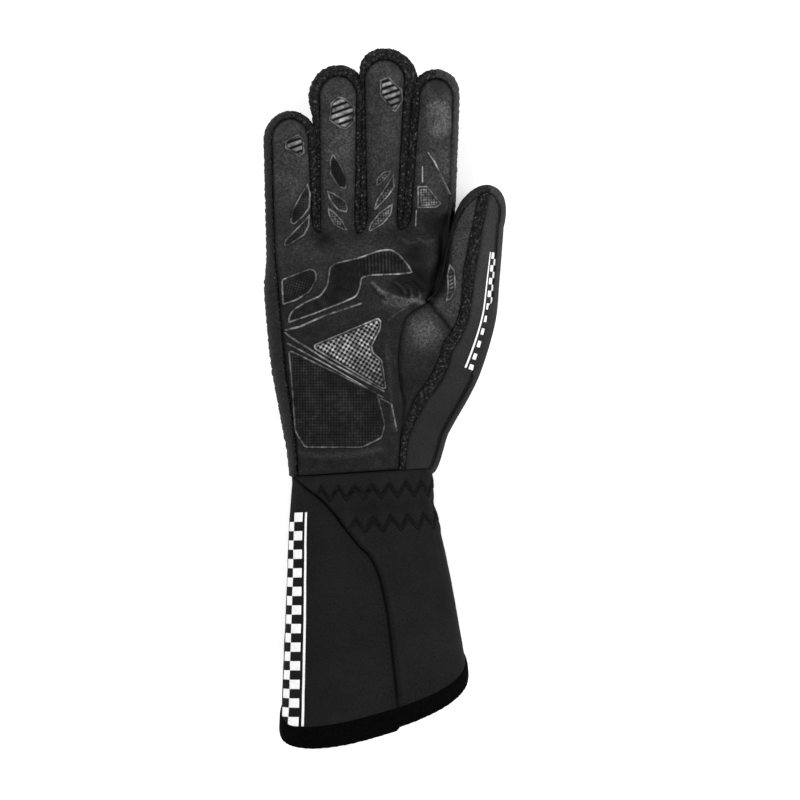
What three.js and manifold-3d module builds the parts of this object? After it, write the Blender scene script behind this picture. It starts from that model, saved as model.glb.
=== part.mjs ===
// A right-hand karting glove with a long cuff, lying on the back of the hand with its palm up.
// Millimetres: x runs to the thumb side, y to the fingertips and z up out of the palm.
// The origin is on the rest plane, in the middle of the back of the hand.
//
// The glove is one skin, worked out as a function and cut into its sewn panels. In plan, the hand is a
// sheet of columns that runs from the wrist and splits into the digits. The front and the back of the
// skin share that plan, at two heights, and side strips bulge out between their edges.

import * as THREE from 'three';
import { mergeVertices } from 'three/addons/utils/BufferGeometryUtils.js';
import Module from 'manifold-3d';

// Driving dimensions
const handWidth = 96;
const palmLength = 119.5;
const fingerLength = 91.5;
const thumbLength = 58;
const originAboveWrist = 36.5;
const palmThickness = 31;
const fingerThickness = 17.5;
const thumbThickness = 20;
const fingerCurl = 6;
const thumbLift = 9;
const wristWidth = 70;
const wristThickness = 33;
const cuffLength = 115.5;
const mouthWidth = 94;
const mouthThickness = 45;
const hemWidth = 9.5;
const hemWall = 3;
const leatherWall = 1.5;
const fabricWall = 1.4;
const seamGap = 0.3;
const padHeight = 0.8;
const webRound = 9;
const weltWidth = 5.5;
const leastWelt = 0.04;

// Where one form of the hand runs into the next, in millimetres: how far the palm reaches under the fingers,
// how far the fingers reach back into the palm, and how far from its wrist the thumb's underside parts
const fadeBefore = 12;
const fadeRun = 44;
const fingerRoot = 20;
const thumbPartBefore = 30;
const thumbPartRun = 60;
const thumbBlend = 5;
const thumbBackBlend = 4;
const fingerBlend = 2.5;

// Roundness of the digits: the drop of their sides and tips as shares of their thickness, the least
// clearance of a finger, half the thumb's breadth as a share of handWidth and the crowding of its rows.
// From freeFlank up, a finger's side stands clear of its shorter neighbour and may bulge more.
const fingerArch = 0.19;
const fingerTaper = 0.13;
const fingerClearance = 0.4;
const thumbArch = 0.2;
const thumbHalf = 0.115;
const thumbClimb = 1.15;
const webCrowding = 1.5;
const webFill = 0.88;
const freeFlank = 0.8;
const tipEasing = 1.4;
const outerEasing = 4;
const thumbCornerEasing = 3;

// Leans of the wrist seam and of the cuff's sections, and the least lean of a panel's corner
const seamLean = 0.15;
const sectionLean = 0.1;
const leastLean = 0.4;

// Facets of the skin
const digitColumns = 4;
const shaftRows = 6;
const tipRows = 2;
const palmRows = 9;
const crotchRow = 6;
const sideDivisions = 3;
const thumbLeatherColumns = 3;
const thumbFabricColumns = 2;
const cuffPanelColumns = 15;
const cuffRows = 9;

// Shares of handWidth: the valleys between the digits, and the lean of the gap above each
const valleys = [
  { x: -0.573, along: 0.975, lean: 0 },
  { x: -0.333, along: 1.004, lean: -0.045 },
  { x: -0.1328, along: 1.0, lean: 0.032 },
  { x: 0.0911, along: 1.017, lean: 0.103 },
  { x: 0.328, along: 0.992, lean: 0 },
];

// Leather edges of each finger at its root and tip as shares of handWidth, and its length as a share of
// fingerLength. The bulges say how far its free sides and its tip stand out, as shares of handWidth.
const fingers = [
  {
    name: 'pinky', baseLeft: -0.573, baseRight: -0.37, tipLeft: -0.584, tipRight: -0.388,
    length: 0.656, round: 0.12, tipBulge: 0.026, leftBulge: 0.028, rightBulge: 0,
  },
  {
    name: 'ring', baseLeft: -0.331, baseRight: -0.148, tipLeft: -0.336, tipRight: -0.138,
    length: 0.907, round: 0.12, tipBulge: 0.047, leftBulge: 0.047, rightBulge: 0,
  },
  {
    name: 'middle', baseLeft: -0.0865, baseRight: 0.068, tipLeft: -0.1, tipRight: 0.112,
    length: 1.0, round: 0.115, tipBulge: 0.047, leftBulge: 0, rightBulge: 0,
  },
  {
    name: 'index', baseLeft: 0.1375, baseRight: 0.3365, tipLeft: 0.185, tipRight: 0.362,
    length: 0.885, round: 0.11, tipBulge: 0.036, leftBulge: 0, rightBulge: 0.02,
  },
];

// The hand's outline in shares of handWidth, and its height as a share of palmThickness, at shares of
// palmLength above the wrist seam
const handSections = [
  { along: 0.0, left: -0.479, right: 0.25, top: wristThickness / palmThickness },
  { along: 0.1, left: -0.493, right: 0.285, top: 1.04 },
  { along: 0.2, left: -0.517, right: 0.347, top: 1.01 },
  { along: 0.335, left: -0.548, right: 0.438, top: 0.97 },
  { along: 0.435, left: -0.571, right: 0.479, top: 0.95 },
  { along: 0.6, left: -0.594, right: 0.45, top: 0.93 },
  { along: 0.78, left: -0.611, right: 0.396, top: 0.9 },
  { along: 0.975, left: -0.615, right: 0.37, top: 0.86 },
  { along: 1.3, left: -0.615, right: 0.37, top: 0.84 },
];

// Left and right edges of the palm leather in shares of handWidth. The right edge is the seam round the
// thumb's gusset up to the thumb's crotch, and then the outer side of the index finger.
const crotchAlong = 0.707;
const leatherLeft = [
  { along: 0.0, x: -0.448 },
  { along: 0.1, x: -0.453 },
  { along: 0.27, x: -0.479 },
  { along: 0.4, x: -0.505 },
  { along: 0.6, x: -0.531 },
  { along: 0.78, x: -0.552 },
  { along: 0.975, x: -0.573 },
];
const leatherRight = [
  { along: 0.0, x: 0.078, bulge: 0 },
  { along: 0.14, x: 0.088, bulge: 0 },
  { along: 0.276, x: 0.104, bulge: 0 },
  { along: 0.356, x: 0.088, bulge: 0 },
  { along: 0.465, x: 0.078, bulge: 0 },
  { along: 0.582, x: 0.096, bulge: 0 },
  { along: 0.653, x: 0.133, bulge: 0 },
  { along: crotchAlong, x: 0.232, bulge: 0 },
  { along: 0.745, x: 0.266, bulge: 0.008 },
  { along: 0.824, x: 0.296, bulge: 0.016 },
  { along: 0.9, x: 0.315, bulge: 0.019 },
  { along: 0.992, x: 0.328, bulge: 0.02 },
];

// The thumb's left edge above its crotch and its right outline, in shares of handWidth, at shares of
// thumbLength above the crotch row
const thumbLeft = [
  { along: 0.0, x: 0.232, bulge: 0 },
  { along: 0.06, x: 0.285, bulge: 0.004 },
  { along: 0.18, x: 0.318, bulge: 0.008 },
  { along: 0.4, x: 0.343, bulge: 0.011 },
  { along: 0.72, x: 0.383, bulge: 0.013 },
];
const thumbRight = [
  { along: -1.4, x: 0.25 },
  { along: -1.25, x: 0.284 },
  { along: -1.04, x: 0.347 },
  { along: -0.77, x: 0.44 },
  { along: -0.57, x: 0.496 },
  { along: -0.15, x: 0.57 },
  { along: 0.2, x: 0.591 },
  { along: 0.74, x: 0.616 },
];
const thumbTip = { leftAlong: 0.55, rightAlong: 0.66, round: 0.33, skew: 0.05, tipBulge: 0.031 };
const thumbRightLow = -1.4;
const thumbRightCrotch = -0.483;
const thumbSideBulge = 0.027;

// Where the welt crosses the thumb's rows, as a share of the way from the left edge to the right one, and
// its width as a share of weltWidth. Rows count up from the wrist: 1 is the crotch row, 2 the start of the
// tip and 3 the end.
const weltRun = [
  { row: 0.0, share: 0.12, width: 0.45 },
  { row: 0.2, share: 0.13, width: 0.6 },
  { row: 0.38, share: 0.28, width: 0.85 },
  { row: 0.6, share: 0.54, width: 1 },
  { row: 0.8, share: 0.62, width: 1 },
  { row: 1.0, share: 0.58, width: 1 },
  { row: 1.5, share: 0.48, width: 1 },
  { row: 2.0, share: 0.54, width: 1 },
  { row: 3.0, share: 0.5, width: 1 },
];

// The ridge of the thumb: its axis, height and clearance from the rest plane, at shares of thumbLength
const thumbRidge = [
  { along: -1.1, x: 0.19, top: 1.25, low: 0 },
  { along: -0.5, x: 0.33, top: 1.52, low: 0.1 },
  { along: 0.0, x: 0.41, top: 1.52, low: 0.55 },
  { along: 0.7, x: 0.487, top: 1.45, low: 1 },
];

// The cuff's outline in shares of its own width, at shares of cuffLength below the wrist seam
const cuffSections = [
  { along: 0.0, flare: 0.0, shift: 0.0 },
  { along: 0.17, flare: 0.13, shift: 0.04 },
  { along: 0.38, flare: 0.36, shift: 0.3 },
  { along: 0.62, flare: 0.62, shift: 0.6 },
  { along: 0.87, flare: 0.87, shift: 0.87 },
  { along: 1.15, flare: 1.12, shift: 1.1 },
];
const wristCentre = -0.114;
const mouthCentre = -0.045;
const cuffFrontSeam = [
  { along: 0.0, place: 0.97 },
  { along: 0.045, place: 0.74 },
  { along: 0.1, place: 0.46 },
  { along: 0.2, place: 0.18 },
  { along: 0.34, place: -0.05 },
  { along: 0.5, place: -0.14 },
  { along: 0.75, place: -0.17 },
  { along: 1.0, place: -0.19 },
];

// Slants of the wrist seam and of the mouth, in millimetres of y from side to side and front to back
const wristSlant = 4.5;
const mouthSlant = 27;
const mouthTilt = 28;
const sectionPower = 2.5;
const middleShare = 0.46;
const restSink = 2;

// Dents and folds of the palm: centre and direction in shares of handWidth and palmLength, length and
// breadth in shares of handWidth, depth in millimetres, negative where the leather stands up
const folds = [
  { x: -0.06, along: 0.52, towardX: 0.3, towardAlong: 0.1, length: 0.26, breadth: 0.11, depth: 2.6 },
  { x: -0.36, along: 0.3, towardX: 0, towardAlong: 1, length: 0.3, breadth: 0.12, depth: -1.6 },
  { x: 0.26, along: 0.44, towardX: 0.3, towardAlong: 1, length: 0.24, breadth: 0.1, depth: -2.2 },
  { x: -0.12, along: 0.92, towardX: 1, towardAlong: 0.02, length: 0.36, breadth: 0.08, depth: -1.2 },
  { x: 0.1, along: 0.7, towardX: 1, towardAlong: -0.12, length: 0.16, breadth: 0.035, depth: 1.8 },
  { x: -0.325, along: 0.965, towardX: -0.1, towardAlong: 1, length: 0.09, breadth: 0.035, depth: 1.6 },
  { x: -0.1328, along: 0.96, towardX: 0, towardAlong: 1, length: 0.09, breadth: 0.035, depth: 1.6 },
  { x: 0.0911, along: 0.97, towardX: -0.1, towardAlong: 1, length: 0.09, breadth: 0.035, depth: 1.6 },
];

// Grip pads on the palm leather: corners in shares of handWidth from the middle and of palmLength or
// fingerLength from the wrist seam or from the valley line
const palmPads = [
  {
    name: 'outer_palm_pad',
    corners: [[-0.544, 0.803], [-0.378, 0.862], [-0.341, 0.832], [-0.378, 0.766], [-0.445, 0.732],
      [-0.529, 0.69]],
  },
  {
    name: 'upper_palm_pad',
    corners: [[-0.289, 0.862], [-0.128, 0.895], [-0.023, 0.929], [0.065, 0.921], [0.133, 0.862],
      [0.159, 0.824], [-0.055, 0.82], [-0.102, 0.816], [-0.102, 0.728], [-0.174, 0.7], [-0.508, 0.582],
      [-0.508, 0.62], [-0.492, 0.657], [-0.409, 0.699], [-0.352, 0.732], [-0.3, 0.791]],
  },
  {
    name: 'centre_palm_pad',
    corners: [[-0.367, 0.528], [-0.008, 0.653], [-0.003, 0.623], [-0.06, 0.548], [-0.055, 0.498],
      [-0.003, 0.464], [0.023, 0.347]],
  },
  {
    name: 'heel_palm_pad',
    corners: [[-0.497, 0.515], [-0.482, 0.415], [-0.466, 0.188], [-0.435, 0.126], [-0.393, 0.088],
      [-0.091, 0.092], [0.013, 0.172], [0.003, 0.314], [-0.3, 0.444]],
  },
];
const fingerPads = [
  { name: 'pinky_tip_pad', corners: [[-0.516, 0.503], [-0.443, 0.544], [-0.409, 0.511], [-0.406, 0.437],
    [-0.435, 0.407], [-0.516, 0.459]] },
  { name: 'ring_tip_pad', corners: [[-0.289, 0.713], [-0.237, 0.755], [-0.185, 0.745],
    [-0.14, 0.69], [-0.14, 0.61], [-0.19, 0.56], [-0.28, 0.62]] },
  { name: 'middle_tip_pad', corners: [[-0.034, 0.82], [0.013, 0.857], [0.055, 0.85],
    [0.102, 0.79], [0.102, 0.71], [0.055, 0.657], [-0.034, 0.72]] },
  { name: 'index_tip_pad', corners: [[0.23, 0.6], [0.25, 0.73], [0.33, 0.74], [0.345, 0.6],
    [0.33, 0.52], [0.24, 0.51]] },
  { name: 'pinky_upper_leaf', corners: [[-0.393, 0.284], [-0.375, 0.219], [-0.38, 0.137],
    [-0.414, 0.087], [-0.466, 0.038], [-0.492, 0.055], [-0.482, 0.126], [-0.44, 0.208]] },
  { name: 'pinky_lower_leaf', corners: [[-0.38, 0.12], [-0.383, 0.038], [-0.409, -0.016],
    [-0.487, -0.071], [-0.523, -0.082], [-0.518, -0.038], [-0.471, 0.014], [-0.414, 0.077]] },
  { name: 'ring_upper_leaf', corners: [[-0.266, 0.448], [-0.216, 0.372], [-0.182, 0.29],
    [-0.193, 0.235], [-0.237, 0.243], [-0.284, 0.322], [-0.286, 0.393]] },
  { name: 'ring_middle_leaf', corners: [[-0.302, 0.24], [-0.258, 0.224], [-0.193, 0.178],
    [-0.18, 0.131], [-0.193, 0.107], [-0.242, 0.12], [-0.286, 0.18]] },
  { name: 'ring_lower_leaf', corners: [[-0.297, 0.153], [-0.258, 0.123], [-0.211, 0.074],
    [-0.18, 0.011], [-0.203, 0.008], [-0.26, 0.038], [-0.292, 0.098]] },
  { name: 'middle_upper_leaf', corners: [[-0.044, 0.246], [-0.039, 0.301], [-0.003, 0.339],
    [0.052, 0.352], [0.039, 0.322], [-0.013, 0.262]] },
  { name: 'middle_middle_leaf', corners: [[0.057, 0.344], [0.062, 0.251], [0.029, 0.197],
    [-0.042, 0.12], [-0.057, 0.128], [-0.039, 0.186], [0.013, 0.268]] },
  { name: 'middle_lower_leaf', corners: [[0.055, 0.175], [0.047, 0.104], [0.003, 0.046],
    [-0.068, 0.003], [-0.083, 0.011], [-0.073, 0.055], [-0.023, 0.117]] },
  { name: 'index_leaf', corners: [[0.172, 0.262], [0.229, 0.262], [0.31, 0.161], [0.276, 0.134],
    [0.172, 0.131]] },
];
const thumbPads = [
  { name: 'thumb_pad', corners: [[0.341, 0.353], [0.375, 0.276], [0.38, 0.112], [0.352, 0.017],
    [0.318, 0], [0.328, 0.112], [0.326, 0.241]] },
];

const mix = (low, high, share) => low + (high - low) * share;
const clamp = (value, low, high) => Math.min(high, Math.max(low, value));
const smooth = (value) => {
  const share = clamp(value, 0, 1);
  return share * share * (3 - 2 * share);
};
const softMax = (first, second, blend) => {
  const near = Math.max(blend - Math.abs(first - second), 0);
  return Math.max(first, second) + (near * near) / (4 * blend);
};
const softMin = (first, second, blend) => -softMax(-first, -second, blend);

// One column of a table along its first column, joined by smooth cubic pieces
function readTable(table, place, column) {
  const keys = Object.keys(table[0]);
  const key = keys[0];
  const last = table.length - 1;
  const at = clamp(place, table[0][key], table[last][key]);
  let index = 0;
  while (index < last - 1 && at > table[index + 1][key]) index += 1;
  const slope = (i) => {
    const before = table[Math.max(i - 1, 0)];
    const after = table[Math.min(i + 1, last)];
    return (after[column] - before[column]) / (after[key] - before[key]);
  };
  const start = table[index];
  const end = table[index + 1];
  const span = end[key] - start[key];
  const t = (at - start[key]) / span;
  const startWeight = (1 + 2 * t) * (1 - t) * (1 - t);
  const endWeight = t * t * (3 - 2 * t);
  return startWeight * start[column] + endWeight * end[column]
    + t * (1 - t) * (1 - t) * span * slope(index) - t * t * (1 - t) * span * slope(index + 1);
}

const wristY = -originAboveWrist;
const rootY = wristY + palmLength;
const crotchY = wristY + crotchAlong * palmLength;
const alongPalm = (y) => (y - wristY) / palmLength;
const alongThumb = (y) => (y - crotchY) / thumbLength;
const wristSeamY = (x) => wristY + wristSlant * (x / wristWidth + seamLean);

// Heights of the skin over the plan

function foldDepth(x, y) {
  let depth = 0;
  for (const fold of folds) {
    const fromX = x - fold.x * handWidth;
    const fromY = y - wristY - fold.along * palmLength;
    const reach = Math.hypot(fold.towardX, fold.towardAlong);
    const lengthwise = (fromX * fold.towardX + fromY * fold.towardAlong) / reach / (fold.length * handWidth);
    const across = (fromX * fold.towardAlong - fromY * fold.towardX) / reach / (fold.breadth * handWidth);
    depth += fold.depth * Math.exp(-(lengthwise ** 2) - across ** 2);
  }
  return depth;
}

function section(y) {
  const along = alongPalm(y);
  const left = readTable(handSections, along, 'left') * handWidth;
  const right = readTable(handSections, along, 'right') * handWidth;
  const top = readTable(handSections, along, 'top') * palmThickness;
  return { centre: (left + right) / 2, half: (right - left) / 2, top, middle: top * middleShare };
}

const roundShare = (across) => (1 - clamp(Math.abs(across), 0, 1) ** sectionPower) ** (1 / sectionPower);
const palmFade = (y) => palmThickness * smooth((y - rootY + fadeBefore) / fadeRun);

// The arched front and flattened back of one digit, from how far a point lies from its axis
function fingerRidge(finger, x, y) {
  const tipStart = rootY + (finger.length - finger.round) * fingerLength - finger.tipBulge * handWidth;
  const share = clamp((y - rootY) / (tipStart - rootY), -0.4, 1);
  const left = mix(finger.baseLeft, finger.tipLeft, share) * handWidth;
  const right = mix(finger.baseRight, finger.tipRight, share) * handWidth;
  const across = (2 * x - left - right) / (right - left);
  const past = clamp((y - tipStart) / (finger.round * fingerLength), 0, 1);
  const lift = fingerCurl * clamp(share, 0, 1) ** 2 + fingerClearance;
  const arch = fingerArch * fingerThickness * (across * across + past * past);
  const taper = fingerTaper * fingerThickness * past * past;
  return { front: lift + fingerThickness - arch - taper, back: lift + arch + taper };
}

function thumbHeights(x, y) {
  const along = alongThumb(y);
  const axis = readTable(thumbRidge, along, 'x') * handWidth;
  const across = (x - axis) / (thumbHalf * handWidth);
  const past = clamp((along - thumbTip.rightAlong) / thumbTip.round, 0, 1);
  const arch = thumbArch * thumbThickness * (across * across + past * past);
  const low = thumbLift * readTable(thumbRidge, along, 'low');
  const high = thumbThickness * readTable(thumbRidge, along, 'top');
  return { front: high - arch, back: low + arch };
}

function frontHeight(x, y) {
  const body = section(y);
  const across = (x - body.centre) / body.half;
  const swell = roundShare(across);
  let height = body.middle + (body.top - body.middle) * swell - foldDepth(x, y) * smooth(2 * swell);
  height -= palmFade(y);
  height = softMax(height, thumbHeights(x, y).front, thumbBlend);
  for (const finger of fingers) {
    if (y > rootY - fingerRoot) height = softMax(height, fingerRidge(finger, x, y).front, fingerBlend);
  }
  return height;
}

function backHeight(x, y) {
  const body = section(y);
  const across = (x - body.centre) / body.half;
  let height = body.middle - (body.middle + restSink) * roundShare(across) + palmFade(y);
  const beyondThumb = palmThickness * smooth((rootY - thumbPartBefore - y) / thumbPartRun);
  height = softMin(height, thumbHeights(x, y).back + beyondThumb, thumbBackBlend);
  for (const finger of fingers) {
    if (y > rootY - fingerRoot) height = softMin(height, fingerRidge(finger, x, y).back, fingerBlend);
  }
  return Math.max(height, 0);
}

// Plan of the sheet: places of its columns and rows

function valleyPoint(index) {
  const valley = valleys[index];
  return { x: valley.x * handWidth, y: wristY + valley.along * palmLength };
}

function gapLine(index, y) {
  const bottom = valleyPoint(index);
  return bottom.x + valleys[index].lean * (y - bottom.y);
}

// Left or right leather edge of a finger; near a valley it turns round to the middle of the gap
function fingerEdge(index, side, share) {
  const finger = fingers[index];
  const gap = side < 0 ? index : index + 1;
  const bottom = valleyPoint(gap);
  const top = rootY + (finger.length - finger.round) * fingerLength - finger.tipBulge * handWidth;
  const y = mix(bottom.y, top, share);
  const base = side < 0 ? finger.baseLeft : finger.baseRight;
  const tip = side < 0 ? finger.tipLeft : finger.tipRight;
  const straight = mix(base, tip, share) * handWidth;
  const outer = gap === 0 || gap === fingers.length;
  const turn = outer ? 1 : Math.sqrt(1 - (1 - clamp((y - bottom.y) / webRound, 0, 1)) ** 2);
  const middle = gapLine(gap, y);
  const x = outer ? mix(bottom.x, straight, smooth(outerEasing * share)) : mix(middle, straight, turn);
  const outerBulge = (side < 0 ? finger.leftBulge : finger.rightBulge) * handWidth;
  const freeBulge = outerBulge * smooth((share - freeFlank) / (1 - freeFlank));
  const bulge = outer ? outerBulge : Math.max(webFill * Math.abs(middle - x), freeBulge);
  return { x, y, bulge };
}

// Rows 0 to 1 are the shaft and 1 to 2 the rounded tip, where a square grid is drawn out into a half disc
function fingerPlan(index, across, row) {
  const finger = fingers[index];
  const left = fingerEdge(index, -1, Math.min(row, 1));
  const right = fingerEdge(index, 1, Math.min(row, 1));
  const past = clamp(row - 1, 0, 1);
  const discX = across * Math.sqrt(1 - (past * past) / 2);
  const discY = past * Math.sqrt(1 - (across * across) / 2);
  return {
    x: mix(left.x, right.x, (discX + 1) / 2),
    y: mix(left.y, right.y, (discX + 1) / 2) + discY * finger.round * fingerLength,
  };
}

function palmPlan(place, share) {
  const column = clamp(Math.floor(place), 0, 3);
  const root = {
    x: mix(valleyPoint(column).x, valleyPoint(column + 1).x, place - column),
    y: mix(valleyPoint(column).y, valleyPoint(column + 1).y, place - column),
  };
  const rootLeft = valleyPoint(0).x;
  const rootRight = valleyPoint(4).x;
  const left = readTable(leatherLeft, valleys[0].along * share, 'x') * handWidth;
  const right = readTable(leatherRight, valleys[4].along * share, 'x') * handWidth;
  const spread = mix(place / 4, (root.x - rootLeft) / (rootRight - rootLeft), smooth(share));
  const x = mix(left, right, spread);
  return { x, y: mix(wristSeamY(x), root.y, share) };
}

// The palm's rows meet the thumb's at the crotch row, so that row is set to pass through the crotch
function palmShare(row) {
  const crotchShare = crotchAlong / valleys[4].along;
  if (row <= crotchRow) return (crotchShare * row) / crotchRow;
  return mix(crotchShare, 1, (row - crotchRow) / (palmRows - crotchRow));
}

// Thumb rows: 0 at the wrist, 1 at the crotch, 2 at the start of the tip and 3 at its end
function thumbPlan(share, row) {
  let left;
  let rightAlong;
  if (row <= 1) {
    left = palmPlan(4, palmShare(row * crotchRow));
    rightAlong = mix(thumbRightLow, thumbRightCrotch, row);
  } else {
    const climb = Math.min(row - 1, 1);
    const along = thumbTip.leftAlong * climb ** thumbClimb;
    const crotch = palmPlan(4, palmShare(crotchRow));
    left = { x: readTable(thumbLeft, along, 'x') * handWidth, y: crotch.y + along * thumbLength };
    rightAlong = mix(thumbRightCrotch, thumbTip.rightAlong, climb);
  }
  const rightX = (readTable(thumbRight, rightAlong, 'x') - thumbSideBulge) * handWidth;
  const low = wristSeamY(rightX);
  const straightY = crotchY + rightAlong * thumbLength;
  const rightY = row < 1 ? mix(low, straightY, smooth(row * thumbCornerEasing)) : straightY;
  const past = clamp(row - 2, 0, 1);
  const across = 2 * share - 1;
  const discX = across * Math.sqrt(1 - (past * past) / 2);
  const discY = past * Math.sqrt(1 - (across * across) / 2);
  return {
    x: mix(left.x, rightX, (discX + 1) / 2) + discY * thumbTip.skew * handWidth,
    y: mix(left.y, Math.max(rightY, low), (discX + 1) / 2) + discY * thumbTip.round * thumbLength,
  };
}

// Shares across the thumb of all its columns: leather, welt, fabric
function thumbShares(row) {
  const left = thumbPlan(0, row);
  const right = thumbPlan(1, row);
  const breadth = Math.hypot(right.x - left.x, right.y - left.y);
  const centre = readTable(weltRun, row, 'share');
  const half = (readTable(weltRun, row, 'width') * weltWidth) / 2 / breadth;
  const start = Math.max(centre - half, leastWelt);
  const end = start + 2 * half;
  const shares = [];
  for (let i = 0; i <= thumbLeatherColumns; i += 1) shares.push((start * i) / thumbLeatherColumns);
  for (let i = 0; i <= thumbFabricColumns; i += 1) shares.push(mix(end, 1, i / thumbFabricColumns));
  return shares;
}

// The skin: patches of facets, each tagged with the panel that it belongs to

const skin = { points: [], keys: new Map(), faces: [] };

function skinPoint(x, y, z) {
  const key = [x, y, z].map((value) => Math.round(value * 1000)).join(' ');
  if (!skin.keys.has(key)) {
    skin.keys.set(key, skin.points.length);
    skin.points.push(new THREE.Vector3(x, y, z));
  }
  return skin.keys.get(key);
}

function addFacet(panel, corners, turned) {
  const ring = corners.filter((corner, i) => corner !== corners[(i + 1) % corners.length]);
  if (ring.length < 3) return;
  skin.faces.push({ panel, ring: turned ? ring.reverse() : ring });
}

// A grid of plan points, laid on the front of the skin for one panel and on its back for another
function addSheet(columns, rows, planAt, frontPanel, backPanel) {
  for (let row = 0; row < rows; row += 1) {
    for (let column = 0; column < columns; column += 1) {
      const corners = [[0, 0], [1, 0], [1, 1], [0, 1]].map(([i, j]) => planAt(column + i, row + j));
      const front = frontPanel(column, row);
      const back = backPanel(column, row);
      addFacet(front, corners.map(({ x, y }) => skinPoint(x, y, frontHeight(x, y))), false);
      addFacet(back, corners.map(({ x, y }) => skinPoint(x, y, backHeight(x, y))), true);
    }
  }
}

// A strip between the front and the back along a path of plan points, which runs clockwise in plan
function addSide(path, panelAt) {
  const steep = Math.PI / 3;
  const columns = path.map((point, i) => {
    const before = path[Math.max(i - 1, 0)];
    const after = path[Math.min(i + 1, path.length - 1)];
    const length = Math.hypot(after.x - before.x, after.y - before.y);
    const sideways = -(after.y - before.y) / length;
    const outX = point.atWrist ? Math.sign(sideways) : sideways;
    const outY = point.atWrist ? 0 : (after.x - before.x) / length;
    const front = frontHeight(point.x, point.y);
    const back = backHeight(point.x, point.y);
    const ids = [];
    for (let step = 0; step <= sideDivisions; step += 1) {
      const angle = steep * (1 - (2 * step) / sideDivisions);
      const out = (point.bulge * (Math.cos(angle) - Math.cos(steep))) / (1 - Math.cos(steep));
      const height = (front + back) / 2 + ((front - back) / 2) * (Math.sin(angle) / Math.sin(steep));
      ids.push(skinPoint(point.x + outX * out, point.y + outY * out, height));
    }
    return ids;
  });
  for (let i = 0; i + 1 < path.length; i += 1) {
    for (let step = 0; step < sideDivisions; step += 1) {
      const corners = [columns[i][step], columns[i + 1][step], columns[i + 1][step + 1], columns[i][step + 1]];
      addFacet(panelAt(i), corners, false);
    }
  }
}

const digitRows = shaftRows + tipRows;
const digitRow = (row) => {
  if (row <= shaftRows) return (row / shaftRows) ** webCrowding;
  return 1 + (row - shaftRows) / tipRows;
};

function fingerSidePath(index) {
  const finger = fingers[index];
  const path = [];
  const tipBulge = finger.tipBulge * handWidth;
  const place = (column, row) => {
    const point = fingerPlan(index, (2 * column) / digitColumns - 1, digitRow(row));
    const past = clamp(digitRow(row) - 1, 0, 1);
    const side = fingerEdge(index, column * 2 < digitColumns ? -1 : 1, Math.min(digitRow(row), 1)).bulge;
    const middle = 1 - Math.abs((2 * column) / digitColumns - 1);
    return { ...point, bulge: mix(side, tipBulge, smooth((past + middle) / tipEasing)) };
  };
  for (let row = 0; row <= digitRows; row += 1) path.push(place(0, row));
  for (let column = 1; column < digitColumns; column += 1) path.push(place(column, digitRows));
  for (let row = digitRows; row >= 0; row -= 1) path.push(place(digitColumns, row));
  return path;
}

function palmLeftPath() {
  const path = [];
  for (let row = 0; row < palmRows; row += 1) {
    const point = palmPlan(0, palmShare(row));
    const outline = readTable(handSections, alongPalm(point.y), 'left') * handWidth;
    const bulge = mix(point.x - outline, fingers[0].leftBulge * handWidth, smooth((row - palmRows + 2) / 2));
    path.push({ ...point, bulge, atWrist: row === 0 });
  }
  return path;
}

function palmRightPath() {
  const path = [];
  for (let row = palmRows - 1; row >= crotchRow; row -= 1) {
    const point = palmPlan(4, palmShare(row));
    path.push({ ...point, bulge: readTable(leatherRight, alongPalm(point.y), 'bulge') * handWidth });
  }
  return path;
}

const sideStrips = ['outer_edge_strip', 'pinky_ring_fourchette', 'ring_middle_fourchette',
  'middle_index_fourchette', 'index_edge_strip'];

function buildFingers() {
  const last = fingers.length - 1;
  fingers.forEach((finger, index) => {
    addSheet(digitColumns, digitRows,
      (column, row) => fingerPlan(index, (2 * column) / digitColumns - 1, digitRow(row)),
      () => 'palm_leather', () => 'hand_back_fabric');
    const before = index === 0 ? palmLeftPath() : [];
    const after = index === last ? palmRightPath() : [];
    const half = before.length + digitRows + digitColumns / 2;
    addSide([...before, ...fingerSidePath(index), ...after],
      (i) => (i < half ? sideStrips[index] : sideStrips[index + 1]));
  });
}

function buildPalm() {
  addSheet(fingers.length * digitColumns, palmRows,
    (column, row) => palmPlan(column / digitColumns, palmShare(row)),
    () => 'palm_leather', () => 'hand_back_fabric');
}

const thumbRow = (row) => {
  if (row <= crotchRow) return row / crotchRow;
  return 1 + digitRow(row - crotchRow);
};

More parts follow.
